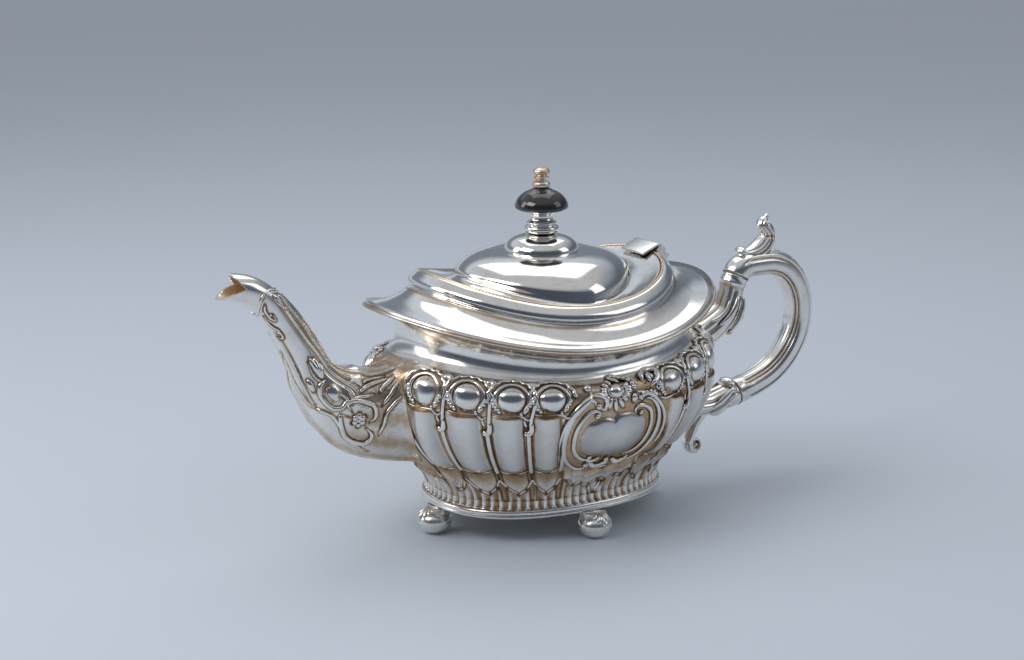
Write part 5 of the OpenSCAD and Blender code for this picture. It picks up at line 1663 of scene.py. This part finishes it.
def finishes():
    """All the finishes, made once."""
    if not bpy.data.materials.get("Chased silver"):
        silver_material("Chased silver", 0.17, "grime", "satin_and_shade", "stipple", dents=0.8)
        silver_material("Raised silver", 0.15, "flank", dents=0.5)
        silver_material("Bright silver", 0.10, "grime", spread=0.30)
        silver_material("Plain silver", 0.16, spread=0.42)
        silver_material("Foot silver", 0.20, "grime", spread=0.55)
        silver_material("Ball silver", 0.23, spread=0.6, worn=0.08)
        silver_material("Cast silver", 0.17, "grime")
        silver_material("Spout silver", 0.16, "grime", stipple="stipple", gilt="gilt")
        silver_material("Rim silver", 0.16, "grime", spread=0.42, worn=0.12)
        silver_material("Worn silver", 0.24, spread=0.7, worn=0.56)
        silver_material("Hinge silver", 0.27, spread=0.85, worn=0.2)
        silver_material("Gilt rope", 0.24, spread=0.75, worn=0.2, metal=finish().gilt)
        silver_material("Hidden metal", 0.35, spread=0.85)
        knob_material()
        washer_material()
    return bpy.data.materials


# ---- one operator for each piece or group ----

class BuildBowl(bpy.types.Operator):
    """Bowl with flutes, roundels and the chief panel of ornament"""
    bl_idname = "teapot.bowl"
    bl_label = "Bowl"

    def execute(self, context):
        ground, level, angles = bowl_ground()
        lines, spots = make_bowl_chasing(ground)
        bowl = make_bowl(ground, level, angles, spots)
        dress(bowl, finishes()["Chased silver"])
        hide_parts("body_shell")
        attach(bowl, "pot")
        dress(lines, finishes()["Raised silver"])
        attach(lines, "pot")
        return {"FINISHED"}


class BuildFoot(bpy.types.Operator):
    """Ribbed skirt, base ring and four ball feet"""
    bl_idname = "teapot.foot"
    bl_label = "Foot"

    def execute(self, context):
        foot = make_foot()
        dress(foot, finishes()["Foot silver"])
        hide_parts("foot_band", "base_rim")
        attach(foot, "pot")
        for node, ball in make_balls().items():
            dress(ball, finishes()["Ball silver"])
            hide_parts(node)
            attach(ball, "pot")
        return {"FINISHED"}


class BuildCover(bpy.types.Operator):
    """Cover round the lid, and the wire in the rim"""
    bl_idname = "teapot.cover"
    bl_label = "Cover and rim"

    def execute(self, context):
        cover = make_cover()
        dress(cover, finishes()["Bright silver"])
        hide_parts("top_cover")
        rim = make_rim()
        dress(rim, finishes()["Rim silver"])
        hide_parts("rim_wire")
        rope = make_seam()
        dress(rope, finishes()["Gilt rope"])
        for piece, slot in ((cover, "silver"), (rim, "worn_silver"), (rope, "worn_silver")):
            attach(piece, "pot")
        return {"FINISHED"}


class BuildLid(bpy.types.Operator):
    """Domed lid with its flange, and the ledge it rests on"""
    bl_idname = "teapot.lid"
    bl_label = "Lid"

    def execute(self, context):
        lid, ledge, flange = make_lid()
        for piece, node, body in ((lid, "lid_shell", "lid"), (ledge, "lid_seat", "pot"),
                                  (flange, "lid_collar", "lid")):
            dress(piece, finishes()["Bright silver" if piece is lid else "Hidden metal"])
            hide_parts(node)
            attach(piece, body)
        return {"FINISHED"}


class BuildFinial(bpy.types.Operator):
    """Turned base, bobbin, black knob and cap"""
    bl_idname = "teapot.finial"
    bl_label = "Finial"

    def execute(self, context):
        looks = ("Bright silver", "Plain silver", "Black knob", "Worn silver")
        slots = ("silver", "silver", "black_knob", "worn_silver")
        nodes = ("finial_seat", "finial_bobbin", "finial_disc", "finial_cap")
        for piece, look, slot, node in zip(make_finial(), looks, slots, nodes):
            dress(piece, finishes()[look])
            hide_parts(node)
            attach(piece, "lid")
        for node in ("finial_stud", "finial_washer", "finial_nut"):
            dress_node(node, finishes()["Hidden metal"])
        return {"FINISHED"}


class BuildHinge(bpy.types.Operator):
    """Hinge with its leaf-shaped plate"""
    bl_idname = "teapot.hinge"
    bl_label = "Hinge"

    def execute(self, context):
        leaf = make_hinge_leaf()
        dress(leaf, finishes()["Hinge silver"])
        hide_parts("hinge_leaf")
        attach(leaf, "lid")
        dress_node("hinge_body", finishes()["Hinge silver"])
        dress_node("hinge_pin", finishes()["Plain silver"])
        return {"FINISHED"}


class BuildSpout(bpy.types.Operator):
    """Beaked spout with its collar and scrolls"""
    bl_idname = "teapot.spout"
    bl_label = "Spout"

    def execute(self, context):
        ground, skin, grime, stipple = spout_ground(bowl_ground()[0])
        lines, spots = make_spout_chasing(ground)
        spout = make_spout(skin, ground, grime, stipple, spots)
        dress(spout, finishes()["Spout silver"])
        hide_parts("spout", "spout_lip")
        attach(spout, "pot")
        dress(lines, finishes()["Raised silver"])
        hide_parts("spout_collar")
        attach(lines, "pot")
        return {"FINISHED"}


class BuildHandle(bpy.types.Operator):
    """Reeded scroll handle with its sockets and thumb rest"""
    bl_idname = "teapot.handle"
    bl_label = "Handle"

    def execute(self, context):
        grip, path = make_grip()
        grip = joined([grip, make_grip_leaf(path)], "grip")
        for piece, node in ((grip, "handle_grip"), (make_upper_socket(), "handle_upper_socket"),
                            (make_lower_socket(), "handle_lower_socket"), (make_thumb_rest(), "thumb_rest")):
            dress(piece, finishes()["Cast silver"])
            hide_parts(node)
            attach(piece, "pot")
        for node in ("handle_upper_washer", "handle_lower_washer"):
            dress_node(node, finishes()["Joint washer"])
        dress_node("handle_pins", finishes()["Worn silver"])
        return {"FINISHED"}


class BuildStage(bpy.types.Operator):
    """Pale floor, soft lamps and the camera"""
    bl_idname = "teapot.stage"
    bl_label = "Stage"

    def execute(self, context):
        make_stage()
        return {"FINISHED"}


# ---- stage ----

CAMERA_TURN, CAMERA_LIFT, CAMERA_FAR = math.radians(-32.7), math.radians(13.5), 1.0
LOOK_AT = Vector((0, 0, 0.082))


def view_frame():
    """Unit vectors of the camera: right, up and back towards it."""
    c, s = math.cos(CAMERA_TURN), math.sin(CAMERA_TURN)
    right = Vector((c, s, 0))
    back = Vector((s * math.cos(CAMERA_LIFT), -c * math.cos(CAMERA_LIFT), math.sin(CAMERA_LIFT)))
    return right, back.cross(right), back


def lamp(name, place, size, power, tint=(1, 1, 1), tall=None):
    bpy.ops.object.select_all(action="DESELECT")
    bpy.ops.object.light_add(type="AREA", location=place)
    made = bpy.context.object
    made.name = name
    made.data.shape = "RECTANGLE"
    made.data.size, made.data.size_y = size, tall or size
    made.data.energy = power
    made.data.color = tint
    made.rotation_euler = (LOOK_AT - Vector(place)).to_track_quat("-Z", "Y").to_euler()
    return made


def make_world():
    world = bpy.data.worlds.new("Studio")
    bpy.context.scene.world = world
    world.use_nodes = True
    n = Nodes(world.node_tree)
    shade = world.node_tree.nodes["Background"]
    way = n.add("ShaderNodeTexCoord").outputs["Generated"]
    split = n.add("ShaderNodeSeparateXYZ", {0: way})
    right, _, back = view_frame()
    dot = n.add("ShaderNodeVectorMath", {0: way, 1: Vector((back.x, back.y, 0)).normalized()},
                operation="DOT_PRODUCT")
    pale = four(finish().floor, 1.05)
    room = n.blend(n.ramp(dot.outputs["Value"], -0.1, 0.75), pale, (0.05, 0.06, 0.085, 1))
    aside = n.add("ShaderNodeVectorMath", {0: way, 1: right}, operation="DOT_PRODUCT")
    room = n.blend(n.times(n.ramp(aside.outputs["Value"], 0.0, 0.7), 0.7), room, (0.08, 0.095, 0.13, 1))
    band = n.times(n.ramp(split.outputs["Z"], 0.02, 0.16), n.math(
        "SUBTRACT", 1.0, n.ramp(split.outputs["Z"], 0.34, 0.52)))
    room = n.blend(n.times(band, 0.75), room, (0.07, 0.085, 0.12, 1))
    room = n.blend(n.ramp(split.outputs["Z"], 0.45, 0.85), room, (0.50, 0.52, 0.55, 1))
    path = n.add("ShaderNodeLightPath")
    seen = n.blend(path.outputs["Is Camera Ray"], room, pale)
    soft = (0.42, 0.43, 0.45, 1)
    keep = n.math("MAXIMUM", path.outputs["Is Camera Ray"], path.outputs["Is Glossy Ray"])
    n.join(n.blend(keep, soft, seen), shade.inputs["Color"])
    shade.inputs["Strength"].default_value = 1.0


def make_stage():
    pale = finish().floor
    bpy.ops.object.select_all(action="DESELECT")
    bpy.ops.mesh.primitive_plane_add(size=8.0, location=(0, 0, 0))
    floor = bpy.context.object
    floor.name = "floor"
    material, n, shader = new_material("Pale floor")
    cloud = n.noise(n.place(), 3.0)
    n.join(n.blend(cloud, four(pale, 0.98), four(pale, 1.02)), shader.inputs["Base Color"])
    shader.inputs["Roughness"].default_value = 0.6
    floor.data.materials.append(material)
    make_world()
    right, up, back = view_frame()
    lamp("key", LOOK_AT + right * -0.62 + up * 0.55 + back * 0.55, 0.55, 3.2, (1.0, 0.985, 0.96), 0.4)
    lamp("window", LOOK_AT + right * -0.95 + up * 0.44 + back * 0.10, 0.34, 1.7, (1, 1, 1), 0.6)
    lamp("fill", LOOK_AT + right * 0.95 + up * 0.5 + back * 0.25, 0.5, 1.1, (0.95, 0.97, 1.0), 0.6)
    lamp("top", LOOK_AT + up * 0.95 + back * -0.2, 0.8, 2.2)
    bpy.ops.object.select_all(action="DESELECT")
    bpy.ops.object.camera_add(location=LOOK_AT + back * CAMERA_FAR)
    camera = bpy.context.object
    camera.name = "camera"
    camera.rotation_euler = (LOOK_AT - camera.location).to_track_quat("-Z", "Y").to_euler()
    camera.data.sensor_width = 36.0
    camera.data.lens = 36.0 * 2312 / 1024
    camera.data.shift_x = -29.5 / 1024
    bpy.context.scene.camera = camera
    bpy.context.scene.view_settings.view_transform = "Standard"


class TEAPOT_PT_panel(bpy.types.Panel):
    """Builds the teapot piece by piece"""
    bl_label = "Silver teapot"
    bl_space_type = "VIEW_3D"
    bl_region_type = "UI"
    bl_category = "Teapot"

    def draw(self, context):
        layout = self.layout
        for label, group in (("Sizes", context.scene.teapot_sizes), ("Finish", context.scene.teapot_finish)):
            box = layout.box()
            box.label(text=label)
            for key in group.bl_rna.properties.keys():
                if key not in ("rna_type", "name"):
                    box.prop(group, key)
        for operator in OPERATORS:
            layout.operator(operator.bl_idname)


OPERATORS = (BuildStage, BuildBowl, BuildFoot, BuildCover, BuildLid, BuildFinial, BuildHinge, BuildSpout,
             BuildHandle)
CLASSES = (TeapotSizes, TeapotFinish) + OPERATORS + (TEAPOT_PT_panel,)


def register():
    for made in CLASSES:
        bpy.utils.register_class(made)
    bpy.types.Scene.teapot_sizes = bpy.props.PointerProperty(type=TeapotSizes)
    bpy.types.Scene.teapot_finish = bpy.props.PointerProperty(type=TeapotFinish)


def unregister():
    del bpy.types.Scene.teapot_sizes
    del bpy.types.Scene.teapot_finish
    for made in reversed(CLASSES):
        bpy.utils.unregister_class(made)


def main():
    register()
    for operator in OPERATORS:
        group, action = operator.bl_idname.split(".")
        getattr(getattr(bpy.ops, group), action)()


if __name__ == "__main__":
    main()
